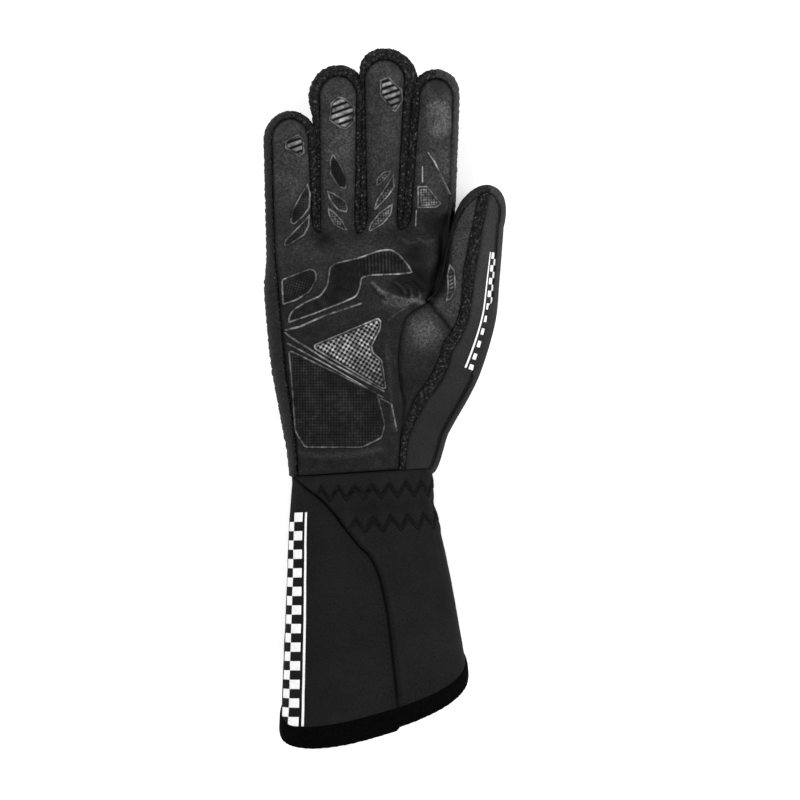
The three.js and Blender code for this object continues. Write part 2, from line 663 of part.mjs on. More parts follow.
function buildThumb() {
  const columns = thumbLeatherColumns + 1 + thumbFabricColumns;
  const rows = crotchRow + digitRows;
  const planAt = (column, row) => thumbPlan(thumbShares(thumbRow(row))[column], thumbRow(row));
  const frontPanel = (column, row) => {
    if (column === thumbLeatherColumns) return 'thumb_welt';
    if (column > thumbLeatherColumns) return 'thumb_back_fabric';
    return row < crotchRow ? 'thumb_gusset' : 'thumb_leather';
  };
  addSheet(columns, rows, planAt, frontPanel,
    (column, row) => (row < crotchRow ? 'hand_back_fabric' : 'thumb_back_fabric'));
  const tipBulge = thumbTip.tipBulge * handWidth;
  const place = (column, row) => {
    const point = planAt(column, row);
    const past = clamp(thumbRow(row) - 2, 0, 1);
    const along = thumbTip.leftAlong * clamp(thumbRow(row) - 1, 0, 1) ** thumbClimb;
    const left = readTable(thumbLeft, along, 'bulge') * handWidth;
    const side = column === 0 ? left : thumbSideBulge * handWidth;
    const middle = 1 - Math.abs(2 * thumbShares(thumbRow(row))[column] - 1);
    return { ...point, bulge: mix(side, tipBulge, smooth((past + middle) / tipEasing)) };
  };
  const path = [];
  for (let row = crotchRow; row <= rows; row += 1) path.push(place(0, row));
  for (let column = 1; column < columns; column += 1) path.push(place(column, rows));
  for (let row = rows; row >= 0; row -= 1) {
    const point = place(columns, row);
    if (row === 0) point.bulge = readTable(handSections, 0, 'right') * handWidth - point.x;
    path.push({ ...point, atWrist: row === 0 });
  }
  addSide(path, (i) => {
    if (i < digitRows + thumbLeatherColumns) return 'thumb_leather';
    return i === digitRows + thumbLeatherColumns ? 'thumb_welt' : 'thumb_back_fabric';
  });
}

// Cuff: a tube whose section grows from the wrist to the mouth, between two slanting planes

function cuffSection(along) {
  const flare = readTable(cuffSections, along, 'flare');
  const shift = readTable(cuffSections, along, 'shift');
  const top = mix(wristThickness, mouthThickness, flare);
  return {
    half: mix(wristWidth, mouthWidth, flare) / 2,
    centre: mix(wristCentre, mouthCentre, shift) * handWidth,
    top,
    middle: top * middleShare,
  };
}

// turn counts round the tube from the thumb side over the front; along runs from wrist to hem
function cuffPoint(turn, along, outward = 0, lowest = 0) {
  const angle = turn * 2 * Math.PI;
  const across = Math.sign(Math.cos(angle)) * Math.abs(Math.cos(angle)) ** (2 / sectionPower);
  const up = Math.sign(Math.sin(angle)) * Math.abs(Math.sin(angle)) ** (2 / sectionPower);
  const hemY = wristY - cuffLength + (mouthSlant / 2) * across - (mouthTilt / 2) * up;
  const startX = cuffSection(0).centre + cuffSection(0).half * across;
  const body = cuffSection(along * (1 + sectionLean * (up * mouthTilt - across * mouthSlant) / cuffLength));
  const high = body.top - body.middle;
  const low = body.middle + restSink;
  const z = body.middle + (up > 0 ? high + outward : low + outward) * up;
  return new THREE.Vector3(
    body.centre + (body.half + outward) * across,
    mix(wristSeamY(startX) - seamGap / 2, hemY, along),
    Math.max(z, lowest),
  );
}

function buildCuff() {
  const hemShare = 1 - hemWidth / cuffLength;
  const backSeam = 0.75;
  const seamTurn = (along) => {
    const sideways = clamp(-readTable(cuffFrontSeam, along, 'place'), -1, 1);
    return Math.acos(sideways) / (2 * Math.PI);
  };
  const addPanel = (panel, turnAt) => {
    for (let row = 0; row < cuffRows; row += 1) {
      for (let column = 0; column < cuffPanelColumns; column += 1) {
        const corners = [[0, 0], [1, 0], [1, 1], [0, 1]].map(([i, j]) => {
          const along = (hemShare * (row + j)) / cuffRows;
          const point = cuffPoint(turnAt((column + i) / cuffPanelColumns, along), along);
          return skinPoint(point.x, point.y, point.z);
        });
        addFacet(panel, corners, false);
      }
    }
  };
  addPanel('cuff_outer_panel', (share, along) => mix(seamTurn(along), backSeam, share));
  addPanel('cuff_inner_panel', (share, along) => mix(backSeam - 1, seamTurn(along), share));
}

// The binding round the mouth: a rounded band carried round the hem
function hemBinding() {
  const turns = 2 * cuffPanelColumns;
  const hemShare = 1 - (hemWidth - seamGap) / cuffLength;
  const stand = (hemWall - fabricWall) / 2;
  const profile = [[0, 0.6], [0.2, 1], [0.85, 1], [1, 0.4], [1, -0.4], [0.85, -1], [0.2, -1], [0, -0.6]];
  const vertices = [];
  const indices = [];
  for (let turn = 0; turn < turns; turn += 1) {
    for (const [down, out] of profile) {
      const depth = (1 - out) / 2;
      const outward = stand - hemWall * depth;
      const point = cuffPoint(turn / turns, mix(hemShare, 1, down), outward, hemWall * depth);
      vertices.push(point.x, point.y, point.z);
    }
  }
  const count = profile.length;
  for (let turn = 0; turn < turns; turn += 1) {
    const next = (turn + 1) % turns;
    for (let i = 0; i < count; i += 1) {
      const j = (i + 1) % count;
      const corners = [turn * count + i, turn * count + j, next * count + j, next * count + i];
      indices.push(corners[0], corners[2], corners[1], corners[0], corners[3], corners[2]);
    }
  }
  return closedGeometry(vertices, indices);
}

function closedGeometry(vertices, indices) {
  const geometry = new THREE.BufferGeometry();
  geometry.setAttribute('position', new THREE.Float32BufferAttribute(vertices, 3));
  geometry.setIndex(indices);
  return geometry;
}

function facetDirection(ring) {
  const direction = new THREE.Vector3();
  const edgeA = new THREE.Vector3();
  const edgeB = new THREE.Vector3();
  for (let i = 2; i < ring.length; i += 1) {
    edgeA.subVectors(skin.points[ring[i - 1]], skin.points[ring[0]]);
    edgeB.subVectors(skin.points[ring[i]], skin.points[ring[0]]);
    direction.add(edgeA.cross(edgeB));
  }
  return direction;
}

// Outward direction at each point of the whole skin, so that neighbouring panels have parallel edges
function skinNormals() {
  const directions = skin.points.map(() => new THREE.Vector3());
  for (const { ring } of skin.faces) {
    const direction = facetDirection(ring);
    ring.forEach((corner) => directions[corner].add(direction));
  }
  return directions.map((direction) => direction.normalize());
}

// One panel as a closed wall between two offsets from the skin, drawn back from its seams
function panelWall(panel, normals, outer, inner) {
  const faces = skin.faces.filter((face) => face.panel === panel);
  const facing = new Map();
  for (const { ring } of faces) {
    const direction = facetDirection(ring).normalize();
    ring.forEach((from, i) => facing.set(`${from} ${ring[(i + 1) % ring.length]}`, direction));
  }
  const border = [...facing.keys()].map((edge) => edge.split(' ').map(Number))
    .filter(([from, to]) => !facing.has(`${to} ${from}`));
  const drawBack = new Map();
  for (const [from, to] of border) {
    const along = new THREE.Vector3().subVectors(skin.points[to], skin.points[from]);
    const inward = new THREE.Vector3().crossVectors(facing.get(`${from} ${to}`), along).normalize();
    for (const corner of [from, to]) drawBack.set(corner, [...(drawBack.get(corner) ?? []), inward]);
  }
  const place = new Map();
  const vertices = [];
  const corner = (id, layer) => {
    const key = `${id} ${layer}`;
    if (!place.has(key)) {
      const point = skin.points[id].clone().addScaledVector(normals[id], layer);
      if (drawBack.has(id)) {
        const inward = new THREE.Vector3();
        drawBack.get(id).forEach((step) => inward.add(step));
        inward.normalize();
        const lean = Math.max(inward.dot(drawBack.get(id)[0]), leastLean);
        point.addScaledVector(inward, seamGap / 2 / lean);
      }
      place.set(key, vertices.length / 3);
      vertices.push(point.x, point.y, Math.max(point.z, 0));
    }
    return place.get(key);
  };
  const indices = [];
  for (const { ring } of faces) {
    for (let i = 2; i < ring.length; i += 1) {
      indices.push(corner(ring[0], outer), corner(ring[i - 1], outer), corner(ring[i], outer));
      indices.push(corner(ring[0], inner), corner(ring[i], inner), corner(ring[i - 1], inner));
    }
  }
  // The rim's diagonal follows the order of the points, so that two panels fold theirs alike at a seam
  for (const [from, to] of border) {
    const rim = [corner(to, outer), corner(from, outer), corner(from, inner), corner(to, inner)];
    const turn = from < to ? 0 : 1;
    for (const step of [1, 2]) indices.push(rim[turn], rim[(turn + step) % 4], rim[(turn + step + 1) % 4]);
  }
  return closedGeometry(vertices, indices);
}

// Grip pads: a raised layer over a panel, cut to an outline by an upright prism

const kernel = await Module();
kernel.setup();

function toSolid(geometry) {
  const bare = geometry.clone();
  bare.deleteAttribute('normal');
  bare.deleteAttribute('uv');
  const merged = mergeVertices(bare, 1e-4);
  return new kernel.Manifold(new kernel.Mesh({
    numProp: 3,
    vertProperties: new Float32Array(merged.attributes.position.array),
    triVerts: new Uint32Array(merged.index.array),
  }));
}

function toGeometry(solid) {
  const mesh = solid.getMesh();
  return closedGeometry([...mesh.vertProperties], [...mesh.triVerts]);
}

function outlinePrism(corners) {
  const shape = new THREE.Shape(corners.map(([x, y]) => new THREE.Vector2(x, y)));
  const prism = new THREE.ExtrudeGeometry(shape, { depth: 2 * palmThickness, bevelEnabled: false });
  return prism.translate(0, 0, palmThickness * middleShare);
}

const materials = {
  leather: new THREE.MeshStandardMaterial({ color: 0x2c2c2d, roughness: 0.82, metalness: 0 }),
  fabric: new THREE.MeshStandardMaterial({ color: 0x232324, roughness: 0.92, metalness: 0 }),
  seam: new THREE.MeshStandardMaterial({ color: 0x0d0d0d, roughness: 0.95, metalness: 0 }),
  binding: new THREE.MeshStandardMaterial({ color: 0x050505, roughness: 0.9, metalness: 0 }),
  grip: new THREE.MeshStandardMaterial({ color: 0x3a3a3b, roughness: 0.45, metalness: 0 }),
};

const glove = new THREE.Group();

function addPiece(name, geometry, material) {
  geometry.computeVertexNormals();
  const mesh = new THREE.Mesh(geometry, materials[material]);
  mesh.name = name;
  glove.add(mesh);
}

buildPalm();
buildFingers();
buildThumb();
buildCuff();
const normals = skinNormals();

const panels = [
  { name: 'palm_leather', wall: leatherWall, material: 'leather' },
  { name: 'thumb_leather', wall: leatherWall, material: 'leather' },
  { name: 'thumb_gusset', wall: leatherWall, material: 'leather' },
  { name: 'thumb_welt', wall: leatherWall, material: 'seam' },
  { name: 'thumb_back_fabric', wall: fabricWall, material: 'fabric' },
  { name: 'hand_back_fabric', wall: fabricWall, material: 'fabric' },
  { name: 'cuff_outer_panel', wall: fabricWall, material: 'fabric' },
  { name: 'cuff_inner_panel', wall: fabricWall, material: 'fabric' },
  ...sideStrips.map((name) => ({ name, wall: fabricWall, material: 'seam' })),
];
panels.forEach(({ name, wall, material }) => addPiece(name, panelWall(name, normals, 0, -wall), material));
addPiece('hem_binding', hemBinding(), 'binding');

function addPads(pads, panel, cornerAt) {
  const layer = toSolid(panelWall(panel, normals, seamGap + padHeight, seamGap));
  for (const { name, corners } of pads) {
    const prism = toSolid(outlinePrism(corners.map(([x, along]) => cornerAt(x, along))));
    addPiece(name, toGeometry(layer.intersect(prism)), 'grip');
  }
}

addPads(palmPads, 'palm_leather', (x, along) => [x * handWidth, wristY + along * palmLength]);
addPads(fingerPads, 'palm_leather', (x, along) => [x * handWidth, rootY + along * fingerLength]);
addPads(thumbPads, 'thumb_leather', (x, along) => [x * handWidth, crotchY + along * thumbLength]);

export default glove;
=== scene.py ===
# %% [markdown]
# # A karting glove, palm up
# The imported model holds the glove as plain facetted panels: palm leather, side strips, thumb, cuff, hem and
# grip pads. This lesson gives each panel its real surface and finish. Every panel is one mathematical skin,
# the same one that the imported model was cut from, read here on a much finer grid.

import bpy
import numpy as np
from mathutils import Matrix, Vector


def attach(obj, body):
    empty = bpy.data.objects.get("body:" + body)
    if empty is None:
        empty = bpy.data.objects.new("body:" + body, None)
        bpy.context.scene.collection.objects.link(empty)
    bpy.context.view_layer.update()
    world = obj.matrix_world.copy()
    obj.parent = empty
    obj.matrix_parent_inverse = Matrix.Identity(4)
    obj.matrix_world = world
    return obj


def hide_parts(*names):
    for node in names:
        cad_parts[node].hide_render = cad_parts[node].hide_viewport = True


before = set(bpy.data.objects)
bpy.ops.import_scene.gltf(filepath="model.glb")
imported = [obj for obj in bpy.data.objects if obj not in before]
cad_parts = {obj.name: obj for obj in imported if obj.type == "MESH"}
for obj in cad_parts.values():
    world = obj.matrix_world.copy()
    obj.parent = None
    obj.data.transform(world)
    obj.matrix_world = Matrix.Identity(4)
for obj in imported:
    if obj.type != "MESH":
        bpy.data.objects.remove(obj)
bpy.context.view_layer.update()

MM = 0.001
rng = np.random.default_rng(7)

# %% [markdown]
# ## The glove's sizes
# All lengths are millimetres until a mesh is filled. The tables give shares of the driving sizes, so the hand,
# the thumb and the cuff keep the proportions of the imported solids. A glove could also be sculpted by eye, but
# then its panels would no longer meet along the seams that the solids have.

# %% Driving sizes
HAND_WIDTH, PALM_LENGTH, FINGER_LENGTH, THUMB_LENGTH = 96.0, 119.5, 91.5, 58.0
PALM_THICKNESS, FINGER_THICKNESS, THUMB_THICKNESS = 31.0, 17.5, 20.0
FINGER_CURL, THUMB_LIFT = 6.0, 9.0
WRIST_WIDTH, WRIST_THICKNESS = 70.0, 33.0
CUFF_LENGTH, MOUTH_WIDTH, MOUTH_THICKNESS = 115.5, 94.0, 45.0
HEM_WIDTH, HEM_WALL = 9.5, 3.0
LEATHER_WALL, FABRIC_WALL = 1.5, 1.4
WEB_ROUND, WELT_WIDTH = 9.0, 5.5
WRIST_SLANT, MOUTH_SLANT, MOUTH_TILT = 4.5, 27.0, 28.0
SECTION_POWER, MIDDLE_SHARE, REST_SINK = 2.5, 0.46, 2.0
WRIST_Y = -36.5
ROOT_Y = WRIST_Y + PALM_LENGTH
CROTCH_ALONG = 0.707
CROTCH_Y = WRIST_Y + CROTCH_ALONG * PALM_LENGTH

# %% Where one form runs into the next, in millimetres, and the roundness of each
FADE_BEFORE, FADE_RUN, FINGER_ROOT = 12, 44, 20
THUMB_PART_BEFORE, THUMB_PART_RUN = 30, 60
FINGER_BLEND, THUMB_BLEND, THUMB_BACK_BLEND = 2.5, 5, 4
FINGER_CLEARANCE, HALF_SEAM_GAP = 0.4, 0.15
# Shares of a digit's thickness, of the hand's width, and the power that crowds the thumb's rows
FINGER_ARCH, FINGER_TAPER, THUMB_ARCH, THUMB_HALF, THUMB_CLIMB = 0.19, 0.13, 0.2, 0.115, 1.15
# How much of the gap between two fingers the strips fill, from where up a longer finger's flank swells freely,
# the least share of the thumb left of the welt, and the leans of the wrist seam and of the cuff's sections
WEB_FILL, FREE_FLANK, LEAST_WELT = 0.88, 0.74, 0.04
SEAM_LEAN, SECTION_LEAN = 0.15, 0.1
print("fingers start to rise", FINGER_ROOT, "mm inside the palm")

# %% Tables of shares: first column is the key
VALLEYS = np.array([[-0.573, 0.975, 0.0], [-0.333, 1.004, -0.045], [-0.1328, 1.0, 0.032],
                    [0.0911, 1.017, 0.103], [0.328, 0.992, 0.0]])
FINGERS = {
    "pinky": dict(base=(-0.573, -0.37), tip=(-0.584, -0.388), length=0.656, round=0.12, proud=0.026,
                  sides=(0.028, 0.0)),
    "ring": dict(base=(-0.331, -0.148), tip=(-0.336, -0.138), length=0.907, round=0.12, proud=0.043,
                 sides=(0.041, 0.0)),
    "middle": dict(base=(-0.0865, 0.068), tip=(-0.1, 0.112), length=1.0, round=0.115, proud=0.047,
                   sides=(0.0, 0.0)),
    "index": dict(base=(0.1375, 0.3365), tip=(0.185, 0.362), length=0.885, round=0.11, proud=0.036,
                  sides=(0.0, 0.02)),
}
HAND = np.array([[0.0, -0.479, 0.25, 33 / 31], [0.1, -0.493, 0.285, 1.04], [0.2, -0.517, 0.347, 1.01],
                 [0.335, -0.548, 0.438, 0.97], [0.435, -0.571, 0.479, 0.95], [0.6, -0.594, 0.45, 0.93],
                 [0.78, -0.611, 0.396, 0.9], [0.975, -0.615, 0.37, 0.86], [1.3, -0.615, 0.37, 0.84]])
LEATHER_LEFT = np.array([[0.0, -0.448], [0.1, -0.453], [0.27, -0.479], [0.4, -0.505], [0.6, -0.531],
                         [0.78, -0.552], [0.975, -0.573]])
LEATHER_RIGHT = np.array([[0.0, 0.078, 0], [0.14, 0.088, 0], [0.276, 0.104, 0], [0.356, 0.088, 0],
                          [0.465, 0.078, 0], [0.582, 0.096, 0], [0.653, 0.133, 0], [0.707, 0.232, 0],
                          [0.745, 0.266, 0.008], [0.824, 0.296, 0.016], [0.9, 0.315, 0.019],
                          [0.992, 0.328, 0.02]])
THUMB_LEFT = np.array([[0.0, 0.232, 0], [0.06, 0.285, 0.004], [0.18, 0.318, 0.008], [0.4, 0.343, 0.011],
                       [0.72, 0.383, 0.013]])
THUMB_RIGHT = np.array([[-1.4, 0.25], [-1.25, 0.284], [-1.04, 0.347], [-0.77, 0.44], [-0.57, 0.496],
                        [-0.15, 0.57], [0.2, 0.591], [0.74, 0.616]])
THUMB_TIP = dict(left=0.55, right=0.66, round=0.33, skew=0.05, proud=0.031)
THUMB_LOW, THUMB_CROTCH, THUMB_SIDE = -1.4, -0.483, 0.027
WELT_RUN = np.array([[0.0, 0.12, 0.45], [0.2, 0.13, 0.6], [0.38, 0.28, 0.85], [0.6, 0.54, 1], [0.8, 0.62, 1],
                     [1.0, 0.58, 1], [1.5, 0.48, 1], [2.0, 0.54, 1], [3.0, 0.5, 1]])
THUMB_RIDGE = np.array([[-1.1, 0.19, 1.25, 0.0], [-0.5, 0.33, 1.52, 0.1], [0.0, 0.41, 1.52, 0.55],
                        [0.7, 0.487, 1.45, 1.0]])
CUFF = np.array([[0.0, 0.0, 0.0], [0.17, 0.13, 0.04], [0.38, 0.36, 0.3], [0.62, 0.62, 0.6],
                 [0.87, 0.87, 0.87], [1.15, 1.12, 1.1]])
WRIST_CENTRE, MOUTH_CENTRE = -0.114, -0.045
FRONT_SEAM = np.array([[0.0, 0.97], [0.045, 0.74], [0.1, 0.46], [0.2, 0.18], [0.34, -0.05], [0.5, -0.14],
                       [0.75, -0.17], [1.0, -0.19]])
FOLDS = np.array([[-0.06, 0.52, 0.3, 0.1, 0.26, 0.11, 2.6], [-0.36, 0.3, 0, 1, 0.3, 0.12, -1.6],
                  [0.26, 0.44, 0.3, 1, 0.24, 0.1, -2.2], [-0.12, 0.92, 1, 0.02, 0.36, 0.08, -1.2],
                  [0.1, 0.7, 1, -0.12, 0.16, 0.035, 1.8], [-0.325, 0.965, -0.1, 1, 0.09, 0.035, 1.6],
                  [-0.1328, 0.96, 0, 1, 0.09, 0.035, 1.6], [0.0911, 0.97, -0.1, 1, 0.09, 0.035, 1.6]])
print("hand", HAND_WIDTH, "mm wide, leather", LEATHER_WALL, "mm thick")

# %% [markdown]
# ## Small tools for curves
# A table is read by cubic pieces that pass through every row without a corner, because cut leather has no
# corners along its edges. The same two blends are used wherever one form runs into another.


# %% Blends and tables
def mix(low, high, share):
    """low + (high - low) times share."""
    return low + (high - low) * share


def smooth(value):
    """3 t squared minus 2 t cubed, with t held between 0 and 1."""
    t = np.clip(value, 0, 1)
    return t * t * (3 - 2 * t)


def bell(distance, breadth):
    """A bell curve: exp(-(distance / breadth) squared)."""
    return np.exp(-(distance / breadth) ** 2)


def soft_max(first, second, blend):
    """The larger of two heights, raised by (blend - difference) squared / (4 blend) where they meet."""
    near = np.maximum(blend - np.abs(first - second), 0)
    return np.maximum(first, second) + near * near / (4 * blend)


def soft_min(first, second, blend):
    """The mirror image of soft_max."""
    return -soft_max(-first, -second, blend)


def read_table(table, place, column):
    """A cubic through the two rows round a place, with the slope of a chord over their neighbours."""
    keys, values = table[:, 0], table[:, column]
    rows = np.arange(len(keys))
    before, after = np.maximum(rows - 1, 0), np.minimum(rows + 1, len(keys) - 1)
    slopes = (values[after] - values[before]) / (keys[after] - keys[before])
    at = np.clip(place, keys[0], keys[-1])
    i = np.clip(np.searchsorted(keys, at) - 1, 0, len(keys) - 2)
    span = keys[i + 1] - keys[i]
    t = (at - keys[i]) / span
    return ((1 + 2 * t) * (1 - t) ** 2 * values[i] + t * t * (3 - 2 * t) * values[i + 1]
            + t * (1 - t) ** 2 * span * slopes[i] - t * t * (1 - t) * span * slopes[i + 1])


def ripple(x, y, size, seed, waves=9):
    """The mean of some cosine waves about size mm long, in directions and phases drawn from the seed."""
    draw = np.random.default_rng(seed)
    total = np.zeros(np.broadcast(x, y).shape)
    for turn, phase, stretch in draw.uniform(0, 1, (waves, 3)):
        wave = 2 * np.pi / (size * (0.7 + 0.8 * stretch))
        angle = 2 * np.pi * turn
        total += np.cos(wave * (x * np.cos(angle) + y * np.sin(angle)) + 2 * np.pi * phase)
    return total / waves


def line_distance(x, y, line):
    """The shortest distance in plan to a chain of straight pieces, taken piece by piece."""
    nearest = np.full(np.shape(x), 1e9)
    for (ax, ay), (bx, by) in zip(line[:-1], line[1:]):
        length = (bx - ax) ** 2 + (by - ay) ** 2
        t = np.clip(((x - ax) * (bx - ax) + (y - ay) * (by - ay)) / length, 0, 1)
        nearest = np.minimum(nearest, np.hypot(x - ax - t * (bx - ax), y - ay - t * (by - ay)))
    return nearest


VIEW_CENTRE, PIXELS_PER_MM = (383.5, 399), 2


def in_view(*places):
    """Places in the picture's 800 by 800 frame as millimetres of the plan."""
    spots = np.array(places, float).reshape(-1, 2)
    return (spots - VIEW_CENTRE) / PIXELS_PER_MM * [1, -1]


# %% Lengths and directions
def running_length(points):
    """The length of a chain of points up to each of them."""
    return np.concatenate([[0], np.cumsum(np.linalg.norm(np.diff(points, axis=0), axis=1))])


def unit(vectors):
    """Vectors divided by their own lengths."""
    return vectors / np.maximum(np.linalg.norm(vectors, axis=-1, keepdims=True), 1e-9)


# %% [markdown]
# ## The skin's height
# The glove is hollow leather and cloth, so a height over the plan is enough for its front and another for its
# back. The palm is a flattened oval; each finger is a low arch that grows out of it, and the thumb is a
# third arch that stands higher than both.


# %% Front and back of the hand
def wrist_seam_y(x):
    """The wrist seam slants: its y grows steadily with x."""
    return WRIST_Y + WRIST_SLANT * (x / WRIST_WIDTH + SEAM_LEAN)


def fold_depth(x, y):
    """The sum of one bell-shaped hollow for each row of the table of folds."""
    depth = np.zeros(np.shape(x))
    for fx, fy, dx, dy, length, breadth, deep in FOLDS:
        px, py = x - fx * HAND_WIDTH, y - WRIST_Y - fy * PALM_LENGTH
        reach = np.hypot(dx, dy)
        run = (px * dx + py * dy) / reach / (length * HAND_WIDTH)
        side = (px * dy - py * dx) / reach / (breadth * HAND_WIDTH)
        depth += deep * np.exp(-run ** 2 - side ** 2)
    return depth


def hand_section(x, y):
    """Place across the hand from -1 to 1, the height of its top, and how round it is there."""
    along = (y - WRIST_Y) / PALM_LENGTH
    left, right = (read_table(HAND, along, column) * HAND_WIDTH for column in (1, 2))
    top = read_table(HAND, along, 3) * PALM_THICKNESS
    across = np.clip(np.abs((2 * x - left - right) / (right - left)), 0, 1)
    return top, (1 - across ** SECTION_POWER) ** (1 / SECTION_POWER)


def palm_fade(y):
    """The palm's own height sinks to nothing past the roots of the fingers."""
    return PALM_THICKNESS * smooth((y - ROOT_Y + FADE_BEFORE) / FADE_RUN)


def shaft_end(finger):
    """The y at which a finger's straight shaft ends and its round tip begins."""
    return ROOT_Y + (finger["length"] - finger["round"]) * FINGER_LENGTH - finger["proud"] * HAND_WIDTH


def finger_heights(finger, x, y):
    """A parabola across the finger that falls again round its tip, lifted by the finger's curl."""
    start = shaft_end(finger)
    share = np.clip((y - ROOT_Y) / (start - ROOT_Y), -0.4, 1)
    left = mix(finger["base"][0], finger["tip"][0], share) * HAND_WIDTH
    right = mix(finger["base"][1], finger["tip"][1], share) * HAND_WIDTH
    across = (2 * x - left - right) / (right - left)
    past = np.clip((y - start) / (finger["round"] * FINGER_LENGTH), 0, 1)
    lift = FINGER_CURL * np.clip(share, 0, 1) ** 2 + FINGER_CLEARANCE
    arch = FINGER_ARCH * FINGER_THICKNESS * (across ** 2 + past ** 2)
    taper = FINGER_TAPER * FINGER_THICKNESS * past ** 2
    return lift + FINGER_THICKNESS - arch - taper, lift + arch + taper


def thumb_heights(x, y):
    """A parabola across the thumb's axis, between a top and a clearance that change along it."""
    along = (y - CROTCH_Y) / THUMB_LENGTH
    across = (x - read_table(THUMB_RIDGE, along, 1) * HAND_WIDTH) / (THUMB_HALF * HAND_WIDTH)
    past = np.clip((along - THUMB_TIP["right"]) / THUMB_TIP["round"], 0, 1)
    arch = THUMB_ARCH * THUMB_THICKNESS * (across ** 2 + past ** 2)
    return (THUMB_THICKNESS * read_table(THUMB_RIDGE, along, 2) - arch,
            THUMB_LIFT * read_table(THUMB_RIDGE, along, 3) + arch)


def front_height(x, y):
    """The palm's oval less its folds, joined softly to the thumb's arch and the fingers' arches."""
    top, round_share = hand_section(x, y)
    middle = top * MIDDLE_SHARE
    height = middle + (top - middle) * round_share - fold_depth(x, y) * smooth(2 * round_share)
    height = soft_max(height - palm_fade(y), thumb_heights(x, y)[0], THUMB_BLEND)
    for finger in FINGERS.values():
        joined = soft_max(height, finger_heights(finger, x, y)[0], FINGER_BLEND)
        height = np.where(y > ROOT_Y - FINGER_ROOT, joined, height)
    return height


def back_height(x, y):
    """The underside of the same forms, never below the surface that the glove rests on."""
    top, round_share = hand_section(x, y)
    middle = top * MIDDLE_SHARE
    height = middle - (middle + REST_SINK) * round_share + palm_fade(y)
    beyond = PALM_THICKNESS * smooth((ROOT_Y - THUMB_PART_BEFORE - y) / THUMB_PART_RUN)
    height = soft_min(height, thumb_heights(x, y)[1] + beyond, THUMB_BACK_BLEND)
    for finger in FINGERS.values():
        joined = soft_min(height, finger_heights(finger, x, y)[1], FINGER_BLEND)
        height = np.where(y > ROOT_Y - FINGER_ROOT, joined, height)
    return np.maximum(height, 0)


print("palm stands", round(float(front_height(np.array(-10.0), np.array(0.0))), 1), "mm high at its middle")

# %% [markdown]
# ## The plan of the panels
# The hand is a sheet of columns that splits into the fingers. A finger's square grid is drawn out into a half
# disc at its tip: x keeps its share times the root of (1 - half of the other's square), and so does y. Near
# a valley the edge turns in a quarter circle, as the leather does round a web.


# %% Edges of the fingers and of the palm
def valley_point(index):
    """The bottom of the gap before finger number index."""
    return VALLEYS[index, 0] * HAND_WIDTH, WRIST_Y + VALLEYS[index, 1] * PALM_LENGTH


def finger_edge(number, side, share):
    """The leather edge of a finger from its valley, and how far the side strip may swell beside it."""
    finger = list(FINGERS.values())[number]
    gap = number if side < 0 else number + 1
    low_x, low_y = valley_point(gap)
    y = mix(low_y, shaft_end(finger), share)
    end = 0 if side < 0 else 1
    straight = mix(finger["base"][end], finger["tip"][end], share) * HAND_WIDTH
    if gap in (0, len(FINGERS)):
        return mix(low_x, straight, smooth(4 * share)), y, finger["sides"][end] * HAND_WIDTH + 0 * y
    turn = np.sqrt(1 - (1 - np.clip((y - low_y) / WEB_ROUND, 0, 1)) ** 2)
    middle = low_x + VALLEYS[gap, 2] * (y - low_y)
    x = mix(middle, straight, turn)
    free = finger["sides"][end] * HAND_WIDTH * smooth((share - FREE_FLANK) / (1 - FREE_FLANK))
    return x, y, np.maximum(WEB_FILL * np.abs(middle - x), free)


def half_disc(across, past):
    """Each place keeps its share times the root of (1 - half of the other's square)."""
    return across * np.sqrt(1 - past * past / 2), past * np.sqrt(1 - across * across / 2)


def finger_plan(number, across, row):
    """Rows 0 to 1 are the shaft and 1 to 2 the tip, where the square becomes a half disc."""
    finger = list(FINGERS.values())[number]
    left_x, left_y, _ = finger_edge(number, -1, np.minimum(row, 1))
    right_x, right_y, _ = finger_edge(number, 1, np.minimum(row, 1))
    across, rise = half_disc(across, np.clip(row - 1, 0, 1))
    share = (across + 1) / 2
    return mix(left_x, right_x, share), mix(left_y, right_y, share) + rise * finger["round"] * FINGER_LENGTH


def palm_plan(place, share):
    """Place 0 to 4 runs across the roots of the four fingers, and share 0 to 1 from wrist to roots."""
    column = np.clip(np.floor(place).astype(int), 0, 3)
    roots = np.array([valley_point(index) for index in range(5)])
    root_x = mix(roots[column, 0], roots[column + 1, 0], place - column)
    root_y = mix(roots[column, 1], roots[column + 1, 1], place - column)
    left = read_table(LEATHER_LEFT, VALLEYS[0, 1] * share, 1) * HAND_WIDTH
    right = read_table(LEATHER_RIGHT, VALLEYS[4, 1] * share, 1) * HAND_WIDTH
    spread = mix(place / 4, (root_x - roots[0, 0]) / (roots[4, 0] - roots[0, 0]), smooth(share))
    x = mix(left, right, spread)
    return x, mix(wrist_seam_y(x), root_y, share)


CROTCH_SHARE = CROTCH_ALONG / VALLEYS[4, 1]


